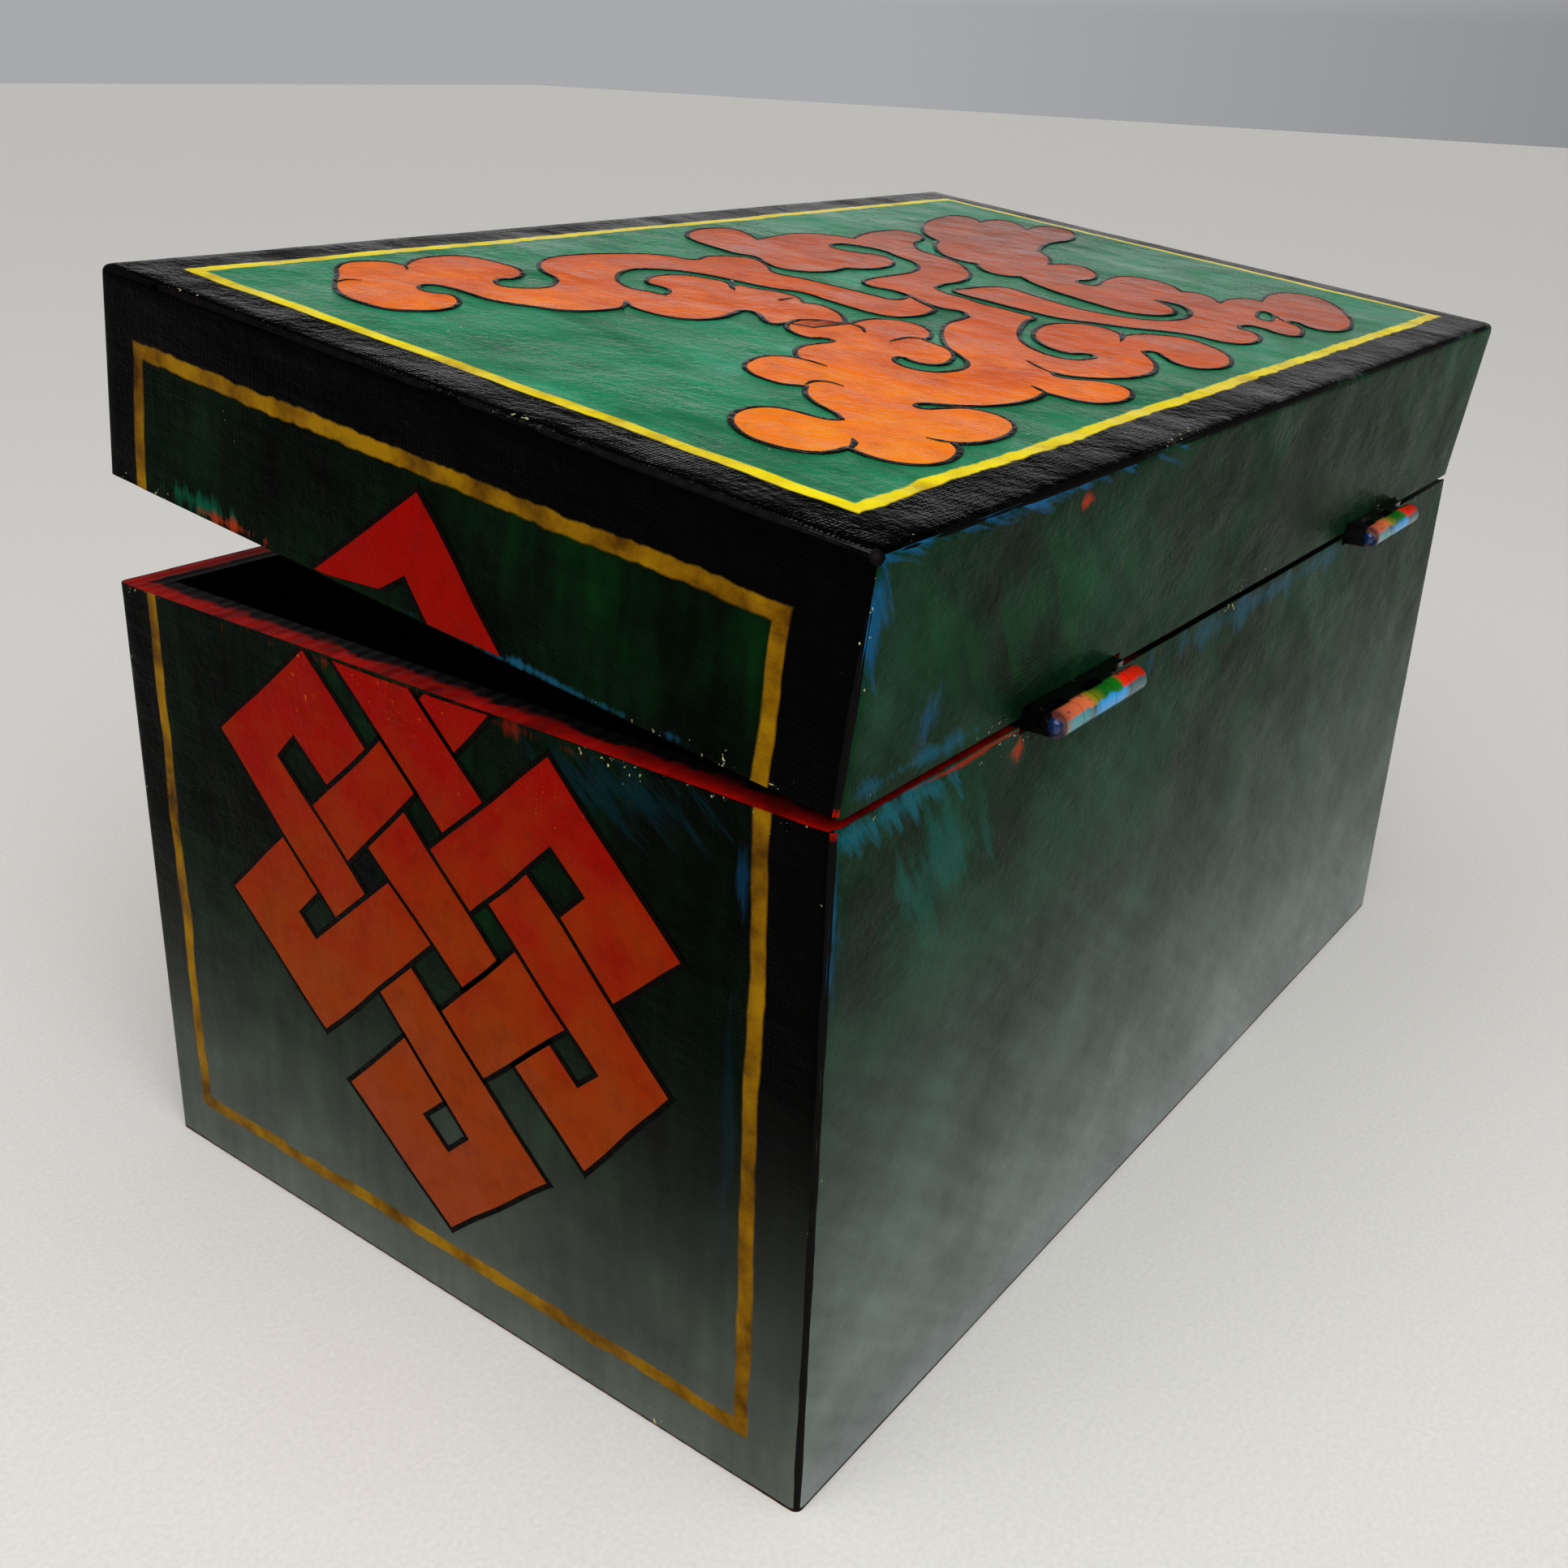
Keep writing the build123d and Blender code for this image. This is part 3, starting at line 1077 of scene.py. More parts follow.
@dataclass
class PaintedCloth:
    """Primed linen glued round one half of the box, with its paint."""

    name: str
    body: Body
    node: str
    low: float
    high: float
    notch_edge: float
    notch_depth: float
    covered: bool
    cell: float = 2.6
    thickness: float = 0.3
    seam_reach: float = 0.45
    free_margin: float = 11.0
    border: float = 9.0
    smooth_degrees: float = 38.0
    paints: dict[Face, PanelPaint] = field(default_factory=dict)

    def build(self) -> bpy.types.Object:
        """Shapes the cloth, dresses it and sets it on its body.

        Returns:
            The finished piece.
        """
        cloth = self.wrap()
        self.cut_notches(cloth)
        self.weave_grid(cloth)
        self.dress(cloth)
        self.crease(cloth)
        self.close_seam(cloth)
        self.finish(cloth)
        return cloth

    def wrap(self) -> bpy.types.Object:
        """Starts from a block, opens it and rounds its outside edges."""
        deselect_all()
        size = (2 * SIZES.half_length, 2 * SIZES.half_width, self.high - self.low)
        bpy.ops.mesh.primitive_cube_add(
            size=1,
            location=(0, 0, (self.low + self.high) / 2 * MM),
            scale=tuple(length * MM for length in size),
        )
        bpy.ops.object.transform_apply(location=True, rotation=True, scale=True)
        cloth = bpy.context.object
        cloth.name = self.name
        cloth.data.name = self.name
        bpy.ops.object.mode_set(mode="EDIT")
        if self.covered:
            pick(cloth, "faces", lambda middle, way: way.z < -ALONG_AXIS)
        else:
            pick(cloth, "faces", lambda middle, way: abs(way.z) > ALONG_AXIS)
        bpy.ops.mesh.delete(type="ONLY_FACE")
        top = self.high if self.covered else math.inf
        pick(
            cloth,
            "edges",
            lambda middle, way: abs(way.z) > ALONG_AXIS or abs(middle.z - top) < SAME_PLACE,
        )
        bpy.ops.mesh.bevel(offset=SIZES.round_edge * MM, segments=4, affect="EDGES")
        return cloth

    def cut_notches(self, cloth: bpy.types.Object) -> None:
        """Cuts the cloth away where the hinge leaves go in at the back."""
        hinges = (SIZES.near_hinge, SIZES.far_hinge)
        for hinge in hinges:
            for side in (-SIZES.notch_half, SIZES.notch_half):
                bpy.ops.mesh.select_all(action="SELECT")
                bpy.ops.mesh.bisect(plane_co=((hinge + side) * MM, 0, 0), plane_no=(1, 0, 0))
        inward = 1 if self.notch_edge == self.low else -1
        depth = self.notch_edge + inward * self.notch_depth
        bpy.ops.mesh.select_all(action="SELECT")
        bpy.ops.mesh.bisect(plane_co=(0, 0, depth * MM), plane_no=(0, 0, 1))
        low, high = sorted((self.notch_edge, depth))
        pick(
            cloth,
            "faces",
            lambda middle, way: low < middle.z < high
            and way.y > ALONG_AXIS
            and any(abs(middle.x - hinge) < SIZES.notch_half for hinge in hinges),
        )
        bpy.ops.mesh.delete(type="FACE")

    def weave_grid(self, cloth: bpy.types.Object) -> None:
        """Divides the cloth finely enough for its unevenness to be real shape."""
        stops = {
            0: [-SIZES.flat_length / 2, *SIZES.notch_sides, SIZES.flat_length / 2],
            1: [-SIZES.flat_width / 2, SIZES.flat_width / 2],
            2: sorted((self.low + self.notch_depth, self.high - self.notch_depth)),
        }
        straight, most_cuts = 0.99, 99
        for axis, ends in stops.items():
            for start, end in zip(ends, ends[1:]):
                found = pick(
                    cloth,
                    "edges",
                    lambda middle, way: abs(way[axis]) > straight and start < middle[axis] < end,
                )
                if found:
                    cuts = max(1, round((end - start) / self.cell) - 1)
                    bpy.ops.mesh.subdivide(number_cuts=min(cuts, most_cuts), smoothness=0.0)
        bpy.ops.object.mode_set(mode="OBJECT")

    def dress(self, cloth: bpy.types.Object) -> None:
        """Gives each face of the box its own paint."""
        faces = list(self.paints)
        for face in faces:
            cloth.data.materials.append(self.paints[face].make())
        for polygon in cloth.data.polygons:
            way = polygon.normal
            # Both ends share one paint, so their normals count without a sign
            way = Vector((abs(way.x), way.y, way.z))
            outward = [way.dot(Vector(face.value[2])) for face in faces]
            polygon.material_index = outward.index(max(outward))

    def crease(self, cloth: bpy.types.Object) -> None:
        """Presses the cloth unevenly on its boards, away from the ornaments."""
        free = cloth.vertex_groups.new(name="free")
        for vertex in cloth.data.vertices:
            across, back, up = vertex.co / MM
            at_side = abs(across) > SIZES.half_length - self.free_margin
            at_face = abs(back) > SIZES.half_width - self.free_margin
            plain_back = back > SIZES.half_width - 1
            low_border = self.low < up < self.low + self.border and not self.covered
            loose = (at_side and at_face) or plain_back or low_border
            if self.covered and up > self.high - self.border and (at_side or at_face):
                loose = True
            free.add([vertex.index], 1.0 if loose else 0.0, "REPLACE")
        for label, size, depth in (("bowed", 38.0, 0.16), ("lumpy", 7.0, 0.10)):
            texture = bpy.data.textures.new(f"{self.name}_{label}", type="CLOUDS")
            texture.noise_scale = size * MM
            texture.noise_depth = 1
            pressed = cloth.modifiers.new(label, "DISPLACE")
            pressed.texture = texture
            pressed.texture_coords = "LOCAL"
            pressed.vertex_group = "free"
            pressed.mid_level = 0.0
            pressed.strength = -depth * MM
        apply_modifiers(cloth)

    def close_seam(self, cloth: bpy.types.Object) -> None:
        """Lets the back's cloth reach a little past the rim, where the brush bridged the seam."""
        outward = 1 if self.notch_edge == self.high else -1
        make_active(cloth)
        bpy.ops.object.mode_set(mode="EDIT")
        pick(
            cloth,
            "verts",
            lambda middle, way: abs(middle.z - self.notch_edge) < SAME_PLACE
            and middle.y > SIZES.half_width - 1.0,
        )
        bpy.ops.transform.translate(value=(0, 0, outward * self.seam_reach * MM))
        bpy.ops.object.mode_set(mode="OBJECT")

    def finish(self, cloth: bpy.types.Object) -> None:
        """Gives the cloth its thickness and its place."""
        thickness = cloth.modifiers.new("thickness", "SOLIDIFY")
        thickness.thickness = self.thickness * MM
        thickness.offset = -1.0
        apply_modifiers(cloth)
        make_active(cloth)
        bpy.ops.object.shade_smooth_by_angle(angle=math.radians(self.smooth_degrees))
        if self.body is Body.LID:
            place(cloth, HINGE.turn())
        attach(cloth, self.body.value)
        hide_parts(self.node)


@dataclass
class Band:
    """One straight run of the knot's band, between the mitres of two corners."""

    left_start: Point
    right_start: Point
    right_end: Point
    left_end: Point

    @property
    def shape(self) -> list[Point]:
        """The run's four corners, in order."""
        return [self.left_start, self.right_start, self.right_end, self.left_end]

    def edge(self, side: str, margin: float) -> tuple[Vector, Vector]:
        """Gives one long edge of the run as a point on it and its direction outwards.

        Args:
            side: "left" or "right".
            margin: How far outside the edge the point lies.

        Returns:
            The point and the outward direction.
        """
        start = Vector(self.left_start if side == "left" else self.right_start)
        end = Vector(self.left_end if side == "left" else self.right_end)
        other = Vector(self.right_start if side == "left" else self.left_start)
        out = Vector((-(end - start).y, (end - start).x)).normalized()
        if out.dot(other - start) > 0:
            out = -out
        return start + out * margin, out


def clip(shape: Sequence[Point], point: Vector, out: Vector) -> list[Point]:
    """Keeps the part of a convex shape that lies beyond a line.

    Args:
        shape: The shape's corners, in order.
        point: A point on the line.
        out: The direction of the side that is kept.

    Returns:
        The kept part's corners, or none.
    """
    kept = []
    for start, end in zip(shape, [*shape[1:], shape[0]]):
        first = (Vector(start) - point).dot(out)
        second = (Vector(end) - point).dot(out)
        if first >= 0:
            kept.append(start)
        if (first > 0 > second) or (first < 0 < second):
            share = first / (first - second)
            kept.append(tuple(Vector(start).lerp(Vector(end), share)))
    return kept if len(kept) > 2 else []


def grow(shape: Sequence[Point], margins: Sequence[float]) -> list[Point]:
    """Moves each side of a convex shape outwards.

    Args:
        shape: The shape's corners, in order.
        margins: How far each side moves.

    Returns:
        The larger shape's corners.
    """
    middle = sum((Vector(corner) for corner in shape), Vector((0, 0))) / len(shape)
    lines = []
    for start, end, margin in zip(shape, [*shape[1:], shape[0]], margins):
        way = (Vector(end) - Vector(start)).normalized()
        out = Vector((-way.y, way.x))
        if out.dot(Vector(start) - middle) < 0:
            out = -out
        lines.append((Vector(start) + out * margin, way))
    grown = []
    for (first, way), (second, other) in zip([lines[-1], *lines[:-1]], lines):
        cross = way.x * other.y - way.y * other.x
        share = ((second - first).x * other.y - (second - first).y * other.x) / cross
        grown.append(tuple(first + way * share))
    return grown


@dataclass
class EndlessKnot:
    """The endless knot on an end of the box: one closed band that crosses itself nine times.

    The band goes round its corners in order. Each corner holds the band's left and right edge
    there, across the end and up it. The loop above the seam is painted on the lid.
    """

    face: Face
    label: str
    base_corners: tuple[tuple[Point, Point], ...] = (
        ((-59.6, 112.3), (-41.8, 111.4)),
        ((-31.2, 136.0), (-36.0, 117.3)),
        ((38.8, 68.1), (40.4, 51.0)),
        ((44.1, 73.3), (60.5, 75.9)),
        ((-27.2, 140.4), (-9.2, 143.3)),
        ((-0.7, 164.5), (-2.7, 147.9)),
        ((22.5, 139.8), (5.6, 138.8)),
        ((-38.9, 77.1), (-59.9, 76.0)),
        ((-33.8, 72.4), (-32.8, 51.5)),
        ((32.7, 132.4), (33.3, 115.8)),
        ((62.5, 103.5), (41.1, 108.1)),
        ((-4.0, 43.5), (-26.0, 41.6)),
        ((3.2, 37.3), (3.0, 18.8)),
        ((9.3, 43.5), (30.4, 43.1)),
    )
    lid_corners: tuple[tuple[Point, Point], ...] = (
        ((-27.2, 138.3), (-9.4, 141.2)),
        ((-0.6, 161.9), (-2.9, 145.9)),
        ((22.0, 138.1), (5.2, 137.0)),
    )
    under_over: tuple[tuple[int, int], ...] = (
        (6, 13), (13, 8), (10, 13), (1, 6), (8, 1), (1, 10), (6, 3), (3, 8), (10, 3)
    )
    line: float = 1.1
    mitre: float = 0.1
    seam_margin: float = 0.45
    outline_height: float = 0.12
    outline_step: float = 0.002
    paint_height: float = 0.2

    def runs(self, corners: tuple[tuple[Point, Point], ...], closed: bool) -> list[Band]:
        """Makes the straight runs between corners.

        Args:
            corners: The left and right edge at each corner.
            closed: Whether the last corner leads back to the first one.

        Returns:
            The runs, in order.
        """
        following = [*corners[1:], corners[0]] if closed else corners[1:]
        return [Band(*start, *reversed(end)) for start, end in zip(corners, following)]

    def build(
        self, outline: bpy.types.Material, base: bpy.types.Material, lid: bpy.types.Material
    ) -> None:
        """Paints the knot on the base and its top loop on the lid.

        Args:
            outline: The dark outline's paint.
            base: The band's paint on the base.
            lid: The band's paint on the lid.
        """
        below = Vector((0.0, SIZES.rim - self.seam_margin)), Vector((0.0, -1.0))
        above = Vector((0.0, SIZES.lid_rim + self.seam_margin)), Vector((0.0, 1.0))
        whole = self.runs(self.base_corners, closed=True)
        loop = self.runs(self.lid_corners, closed=False)
        self.paint(Body.BASE, whole, self.under_over, below, (outline, base))
        self.paint(Body.LID, loop, (), above, (outline, lid))

    def paint(
        self,
        body: Body,
        runs: list[Band],
        under_over: tuple[tuple[int, int], ...],
        seam: tuple[Vector, Vector],
        paints: tuple[bpy.types.Material, bpy.types.Material],
    ) -> None:
        """Paints one body's share of the knot.

        Args:
            body: The body that it rides on.
            runs: The band's runs.
            under_over: Which run goes under which one.
            seam: A point on the seam's line and the side that is kept.
            paints: The dark outline's paint and the band's.
        """
        name = f"{body.value}_{self.label}_knot"
        outline, colour = paints
        shades = []
        for index, run in enumerate(runs):
            cut = clip(grow(run.shape, (self.mitre, self.line) * 2), *seam)
            if cut:
                shade = fill_polygon(f"{name}_outline", cut)
                draw_by_hand(shade)
                # Outlines overlap where runs meet, so neighbours differ a hair in height
                thicken(shade, self.outline_height - self.outline_step * (index % 3), 0.0)
                shade.data.materials.append(outline)
                shades.append(shade)
        bands = []
        for index, run in enumerate(runs):
            shapes = [run.shape]
            for under, over in under_over:
                if under == index:
                    edges = [runs[over].edge(side, self.line) for side in ("left", "right")]
                    shapes = [clip(shape, *edge) for shape in shapes for edge in edges]
                    shapes = [shape for shape in shapes if shape]
            for shape in shapes:
                cut = clip(shape, *seam)
                if cut:
                    band = fill_polygon(f"{name}_band", cut)
                    draw_by_hand(band)
                    thicken(band, self.paint_height - self.outline_height, self.outline_height)
                    band.data.materials.append(colour)
                    bands.append(band)
        lay_on(join(shades, f"{name}_outline"), self.face, SIZES.half_length, body)
        lay_on(join(bands, f"{name}_band"), self.face, SIZES.half_length, body)


@dataclass
class CloudScroll:
    """The cloud scroll on the lid's top, and the smaller one on the front.

    Each form is a layer of orange paint with a dark brush line round it, and dark strokes that
    model its curls. The outlines are laid out on the closed lid's top, across the box and back.
    """

    near_form: str = (
        "116.1 -64.9, 111.4 -70.5, 106.8 -73.4, 102.1 -73.2, 97.6 -70.8, 96.3 -67.2*, 90.5 -70.6, "
        "84.2 -71.5, 78.2 -70.2, 75.1 -65.9, 74.1 -60.7, 74.5 -55.2, 77.4 -51.6, 82.1 -49.6, "
        "85.6 -50.2, 88.5 -48.2, 89.3 -44.9, 85.6 -41.9, 81.3 -40.9, 76.4 -42.8, 72.4 -46.6, "
        "71 -50.8, 68.3 -55.3, 63.7 -59.4, 56.9 -61.8, 49 -61.6, 40.7 -59.6, 32.4 -56.7, "
        "27.3 -52.3, 24.9 -47.9, 17.6 -48.9, 11.1 -46.6, 7.9 -42.8, 10.5 -36.6, 15.4 -29.7, "
        "13.5 -24, 12.4 -17.7, 11.3 -11.4, 10.3 -5.2, 9.2 -0.8, 1.9 -1*, 4.3 3.6, 7.3 9.6*, "
        "13.8 11.4, 19.9 11, 24.3 9.2, 26.4 4.4, 26.5 -0.9, 26.2 -7.8, 25.9 -14.8, 29.5 -20.3, "
        "31.7 -26.8, 33.7 -33.4, 36.7 -39.5, 41.6 -43.8, 47.6 -46, 53.2 -44.9, 58.6 -41.3, "
        "62.3 -36.4, 62.9 -32.1, 61.5 -29.2, 60.6 -25.8*, 55.8 -28.5, 54.9 -32, 55.5 -34.5, "
        "52 -38, 47 -39.3, 40.8 -37.7, 37.6 -33.2, 36.2 -28.6, 40 -23.7*, 36.1 -25.4, 34.1 -21.3, "
        "31.4 -17.1, 31.1 -12.2, 34.2 -8.1*, 32.3 -4.9, 33.2 -0.8, 36.2 3.9, 41.3 8.3*, 51.7 7.2*, "
        "53.8 2*, 57.6 1, 56.5 -2.1, 53.7 -5.8, 53.8 -8.9, 58.2 -8.5, 65 -7.2, 71.3 -8.6, "
        "74.8 -12.2, 76.1 -17, 75.9 -21.2, 73.6 -25.3*, 78.3 -22.2, 82.9 -22, 89.4 -23.5, "
        "93.3 -26.4, 96.2 -30.5, 98.9 -34.4, 100.5 -38.7, 100.6 -43.6, 100.9 -48, 102.6 -51.7, "
        "105.6 -52.1, 108 -49.4, 107.5 -46.5, 105.3 -44.1, 106.4 -40.3, 110.7 -36.6, 115.6 -35.4, "
        "120.6 -36.9, 124.6 -39.8, 126 -45.2, 125.9 -50.5, 123.8 -55.8, 120.1 -60.7"
    )
    middle_form: str = (
        "45.6 2.8, 42.8 6.2, 40.6 8.7*, 35.3 8, 29.9 9, 26.3 12, 25.3 16.2, 27.3 20.4, 32.3 23.9, "
        "36.2 24.8*, 36.8 28.1, 37.8 31.7, 40.9 35, 45.6 37.3, 50.6 38.1, 53.5 36.7, 54.3 33.6, "
        "53.9 30.7, 56.6 30.7, 59.3 33.8, 59.7 36.8, 58.3 40, 54.2 42, 48.8 42.2, 43.7 40.2, "
        "40 36, 37.2 31.9, 32.3 27.3, 24.9 22.3, 16.3 18.6, 9.6 17.9, 5.7 17.3*, 2.5 13.2, 4.4 10, "
        "4.1 5.3, 1.1 -1.5*, 0.6 -7.1, 2.4 -11.2, 0.9 -14.8, -5.5 -16.6, -14.8 -16.6, -23.4 -16.9, "
        "-31 -19.5, -35.7 -24.4, -37.2 -29.6, -39.7 -36.4, -38.3 -41.8, -34.8 -46, -29.2 -45.9, "
        "-27.4 -42.6, -29.5 -37.1, -32.9 -33, -31.3 -27.9, -25.7 -24.3, -18.3 -23.3, -11.7 -24.9, "
        "-8.6 -26.9*, -0.8 -26.2, 6.5 -29, 9.3 -33.5, 7.7 -39.2, 4.8 -44.4, 6.8 -48.7, 6.7 -55.1, "
        "5.9 -62.3, 2.6 -68, -3.9 -71.7, -11.9 -72.3, -17.8 -69.4, -16.9 -63.7, -13.5 -57.9*, "
        "-22 -59.1, -34.6 -59.1, -41.5 -54.8, -45 -49.5*, -54.4 -52.5, -64.8 -53.2, -72.1 -50.7, "
        "-72.2 -45.3, -58.6 -38.6, -51.7 -32, -50.8 -26.3, -49.3 -20.1, -44.2 -13.6, -38.3 -8.6, "
        "-28.4 -5.1, -19.7 -5, -13.6 -3.9*, -11.3 0.2, -11.2 6, -10.2 12.2, -10.9 17.4, "
        "-11.1 22.2, -11.3 24.7, -4.8 26.5, 2.7 29.3, 10.4 33.2, 15.9 37.9, 18.5 42.3, 19.4 46.7, "
        "17.7 50.3, 13.3 51.8, 9.6 51.5, 9.1 49.6, 12.9 47.1, 13.4 43.4, 11.4 39.3, 6.7 34.9, "
        "-0.5 31.6, -8.5 30.5, -14.7 32.4, -18.4 35.8, -19.2 40, -17.5 43.8, -11.8 47.2*, "
        "-17.5 45.4, -23.7 46.7, -28.1 50.2, -31 54.6, -29.8 60.3, -26.8 65.5, -21.5 69.5, "
        "-14.1 71.6, -8.2 70.7, -4.5 68.1, -4.1 64.5, -6.8 60.2, -9.2 56.3, -6.3 54.9*, -2.4 58.8, "
        "2.6 62.5, 9.9 65.1, 16.6 65, 23.5 62.7, 28.4 59.7, 31.6 56.1, 32.2 53.2*, 34.5 55.8, "
        "32.8 58.7, 29.6 61.6, 27.6 65.2, 28.3 68.6, 31.8 71.2, 37.3 72.5, 42.1 71.8, 46.2 69.6, "
        "47.9 66.3, 48.4 63, 48.7 60.9*, 53.7 61.9, 59.3 61.9, 65.5 60.8, 71 58.5, 75.9 55.2, "
        "78.8 52.6, 81.8 52.1, 82.8 53.7, 78.7 56, 74.1 58.5, 72.6 62.1, 73 65.9, 75.2 68.9, "
        "79.9 71.2, 85.8 72, 91.3 71.4, 95.2 69.6, 95.9 68.7*, 98.1 71.4, 102.4 73.4, 107 74, "
        "111.3 72.9, 114.3 70.1, 115.8 66.4, 115.8 62.5, 115.3 60.4*, 118.6 60.4, 122.1 59.4, "
        "124.8 56.3, 126 52.3, 125.7 47.6, 123.3 43, 120.1 39.7, 116.1 37.8, 111.4 37.7, "
        "107.7 39.7, 106.3 43.1, 105.7 46.6, 104.7 49.3, 102.6 50.4*, 100.6 47.8, 99.4 44.2, "
        "97.6 40.2, 94.3 36.4, 90.7 34.2*, 91.6 33.2, 93.7 31, 94.3 27.1, 93.3 23, 90.6 19.5, "
        "86.1 17.5, 80.8 16.9, 77.1 18.7, 75.6 21.3*, 72.8 18.2, 68.2 15.9, 63.3 15.6, 58.7 16.4, "
        "56.5 16.1*, 56.7 13.9, 59.6 11.9, 59.7 8.5, 56.8 4.2, 51.2 1.8"
    )
    far_form: str = (
        "-15.7 0.3, -22.3 0.4, -29.3 1.4, -34.5 4.3, -33.8 11, -32.3 19.8, -32.8 28.3, -35.9 35.5, "
        "-41.5 41.2, -48.8 44, -57.5 43.1, -63.8 40, -66.9 35.3, -65.3 30.1*, -62.1 35.7, "
        "-58.1 39, -51.2 40.1, -45.5 37.4, -42.3 32.5, -42.4 25.8, -43.4 18.5, -45.2 10.6, "
        "-48.1 3.7, -51.5 -1.3*, -48.3 -3.6, -46.8 -6.9, -48.9 -11.7, -53.4 -15.6*, -52.3 -18.9, "
        "-52.7 -23.7, -56.3 -29.2, -63.2 -34.8, -70.6 -38.4*, -73.7 -43.7, -80.6 -50, -92.2 -56.3, "
        "-104.3 -59.4, -115.8 -59.5, -117.4 -55.3, -113.7 -50.6*, -121.6 -51.6, -126.5 -48.9, "
        "-125 -43.4, -119.9 -38.1*, -129.2 -39.7, -135.3 -37.7, -135.7 -32.7, -130.5 -27.5, "
        "-118.7 -23.6, -109.3 -23.6, -99.7 -21.6, -92.4 -18.9*, -89.9 -15.6, -85.1 -11.2, "
        "-76.1 -6.7*, -81.3 -5.6, -84.9 -2.3, -82.8 2.9, -77 7.4, -69 8.9, -63.6 8.4, -63 12.8, "
        "-66.6 13.4*, -76.3 10.9, -87.2 11.5, -90.6 15.9, -90.5 21.7, -84.8 28.7*, -87.8 31, "
        "-87.3 35.4, -82.1 40.4*, -90.3 39.5, -97.7 41.9, -98.5 45.1*, -111.9 42.4, -121.2 44.6, "
        "-123.8 50.6, -119.5 57.4, -110.1 64.2, -100 69.3, -88.6 71.7, -81.5 69.8, -80 65.8, "
        "-82.4 60.8, -80 59.8, -77.6 63.7, -71.8 66.8, -64.4 67.2, -63.4 63.4, -64.7 59.1, "
        "-63.2 55.9, -57.5 56.4, -57.2 59.5, -54 62.8, -47.2 64.9, -40.4 63.8, -37.3 60, "
        "-36.5 54.1, -33 48.5, -27.3 42.9, -22.3 35.9, -17.3 28.9, -15.7 21.8, -14.9 15, "
        "-14.7 9.1, -14.5 4"
    )
    opening: str = (
        "-80.7 51.4, -85.8 51.1, -84.9 53.4, -79.7 56.1, -74.5 56.3, -75.2 54"
    )
    strokes: tuple[str, ...] = (
        "75.6 21.3, 75.1 24.1, 75.3 27.7",
        "90.1 33.4, 86.5 32.9, 84.4 34.6, 84.1 37.7",
        "115.1 60.9, 112 59.5, 110.3 57.9",
        "95.9 68.7, 97 67.1, 97.8 64.6",
        "48.7 60.9, 47.8 59.1, 46.7 56.6",
        "28.9 45.6, 31 49.2, 32.8 53.4",
        "35.2 24.7, 37.2 22.3, 41.3 21.8, 45.1 22.1",
        "40.4 8.7, 40.5 11.5, 43.8 15",
        "55.4 3.3, 51.2 1.8, 47.1 2.2, 45.4 4.3",
        "1.9 -1, 4.6 4.3, 6.9 9.8",
        "-20.5 42.9, -10 47.9",
        "33.2 -29.1, 40.8 -22.4",
        "38.1 -11.9, 32.7 -12.1",
        "119.7 -60.6, 116.5 -61.4, 114.2 -59.8",
        "95.8 -67.8, 98.3 -64.1",
        "73.6 -25.3, 79.8 -20.7",
        "-68.3 -38.2, -55.3 -29.6",
        "-84 54.7, -79.1 59.3",
    )
    line_half_width: float = 0.8
    line_height: float = 0.2
    paint_thickness: float = 0.16
    paint_height: float = 0.06
    stroke_height: float = 0.26

    def outlines(self, texts: Sequence[str], shrink: float, middle: Point) -> list[Outline]:
        """Reads some of the outlines at a chosen size.

        Args:
            texts: The outlines' texts.
            shrink: The size as a share of the top scroll's size.
            middle: Where the top scroll's origin goes.

        Returns:
            The outlines.
        """
        right, up = middle
        return [
            [(x * shrink + right, y * shrink + up, sharp) for x, y, sharp in read_outline(text)]
            for text in texts
        ]

    def build(
        self,
        label: str,
        face: Face,
        body: Body,
        distance: float,
        paint: bpy.types.Material,
        line: bpy.types.Material,
        shrink: float = 1.0,
        middle: Point = (0.0, 0.0),
    ) -> None:
        """Paints the scroll on a face.

        Args:
            label: The start of the pieces' names.
            face: The face.
            body: The body that carries it.
            distance: How far the face is from the box's middle, or the top from the frame's floor.
            paint: The forms' paint.
            line: The dark lines' paint.
            shrink: The size as a share of the top scroll's size.
            middle: Where the top scroll's origin goes.
        """
        forms = self.outlines((self.near_form, self.middle_form, self.far_form), shrink, middle)
        hole = self.outlines((self.opening,), shrink, middle)
        fills = []
        for form, holes in zip(forms, ([], [], hole)):
            shape = [form, *holes]
            fill = fill_shape(f"{label}_form", shape, self.paint_thickness, self.paint_height)
            fill.data.materials.append(paint)
            fills.append(fill)
        # A smaller scroll's lines shrink by half as much as its forms
        half_width = self.line_half_width * (0.5 + 0.5 * shrink)
        rims = [*forms, *hole]
        edges = draw_lines(f"{label}_edge", rims, half_width, self.line_height, closed=True)
        edges.data.materials.append(line)
        inner = self.outlines(self.strokes, shrink, middle)
        strokes = draw_lines(f"{label}_stroke", inner, half_width, self.stroke_height)
        strokes.data.materials.append(line)
        lay_on(join(fills, f"{label}_forms"), face, distance, body)
        lay_on(join([edges, strokes], f"{label}_lines"), face, distance, body)


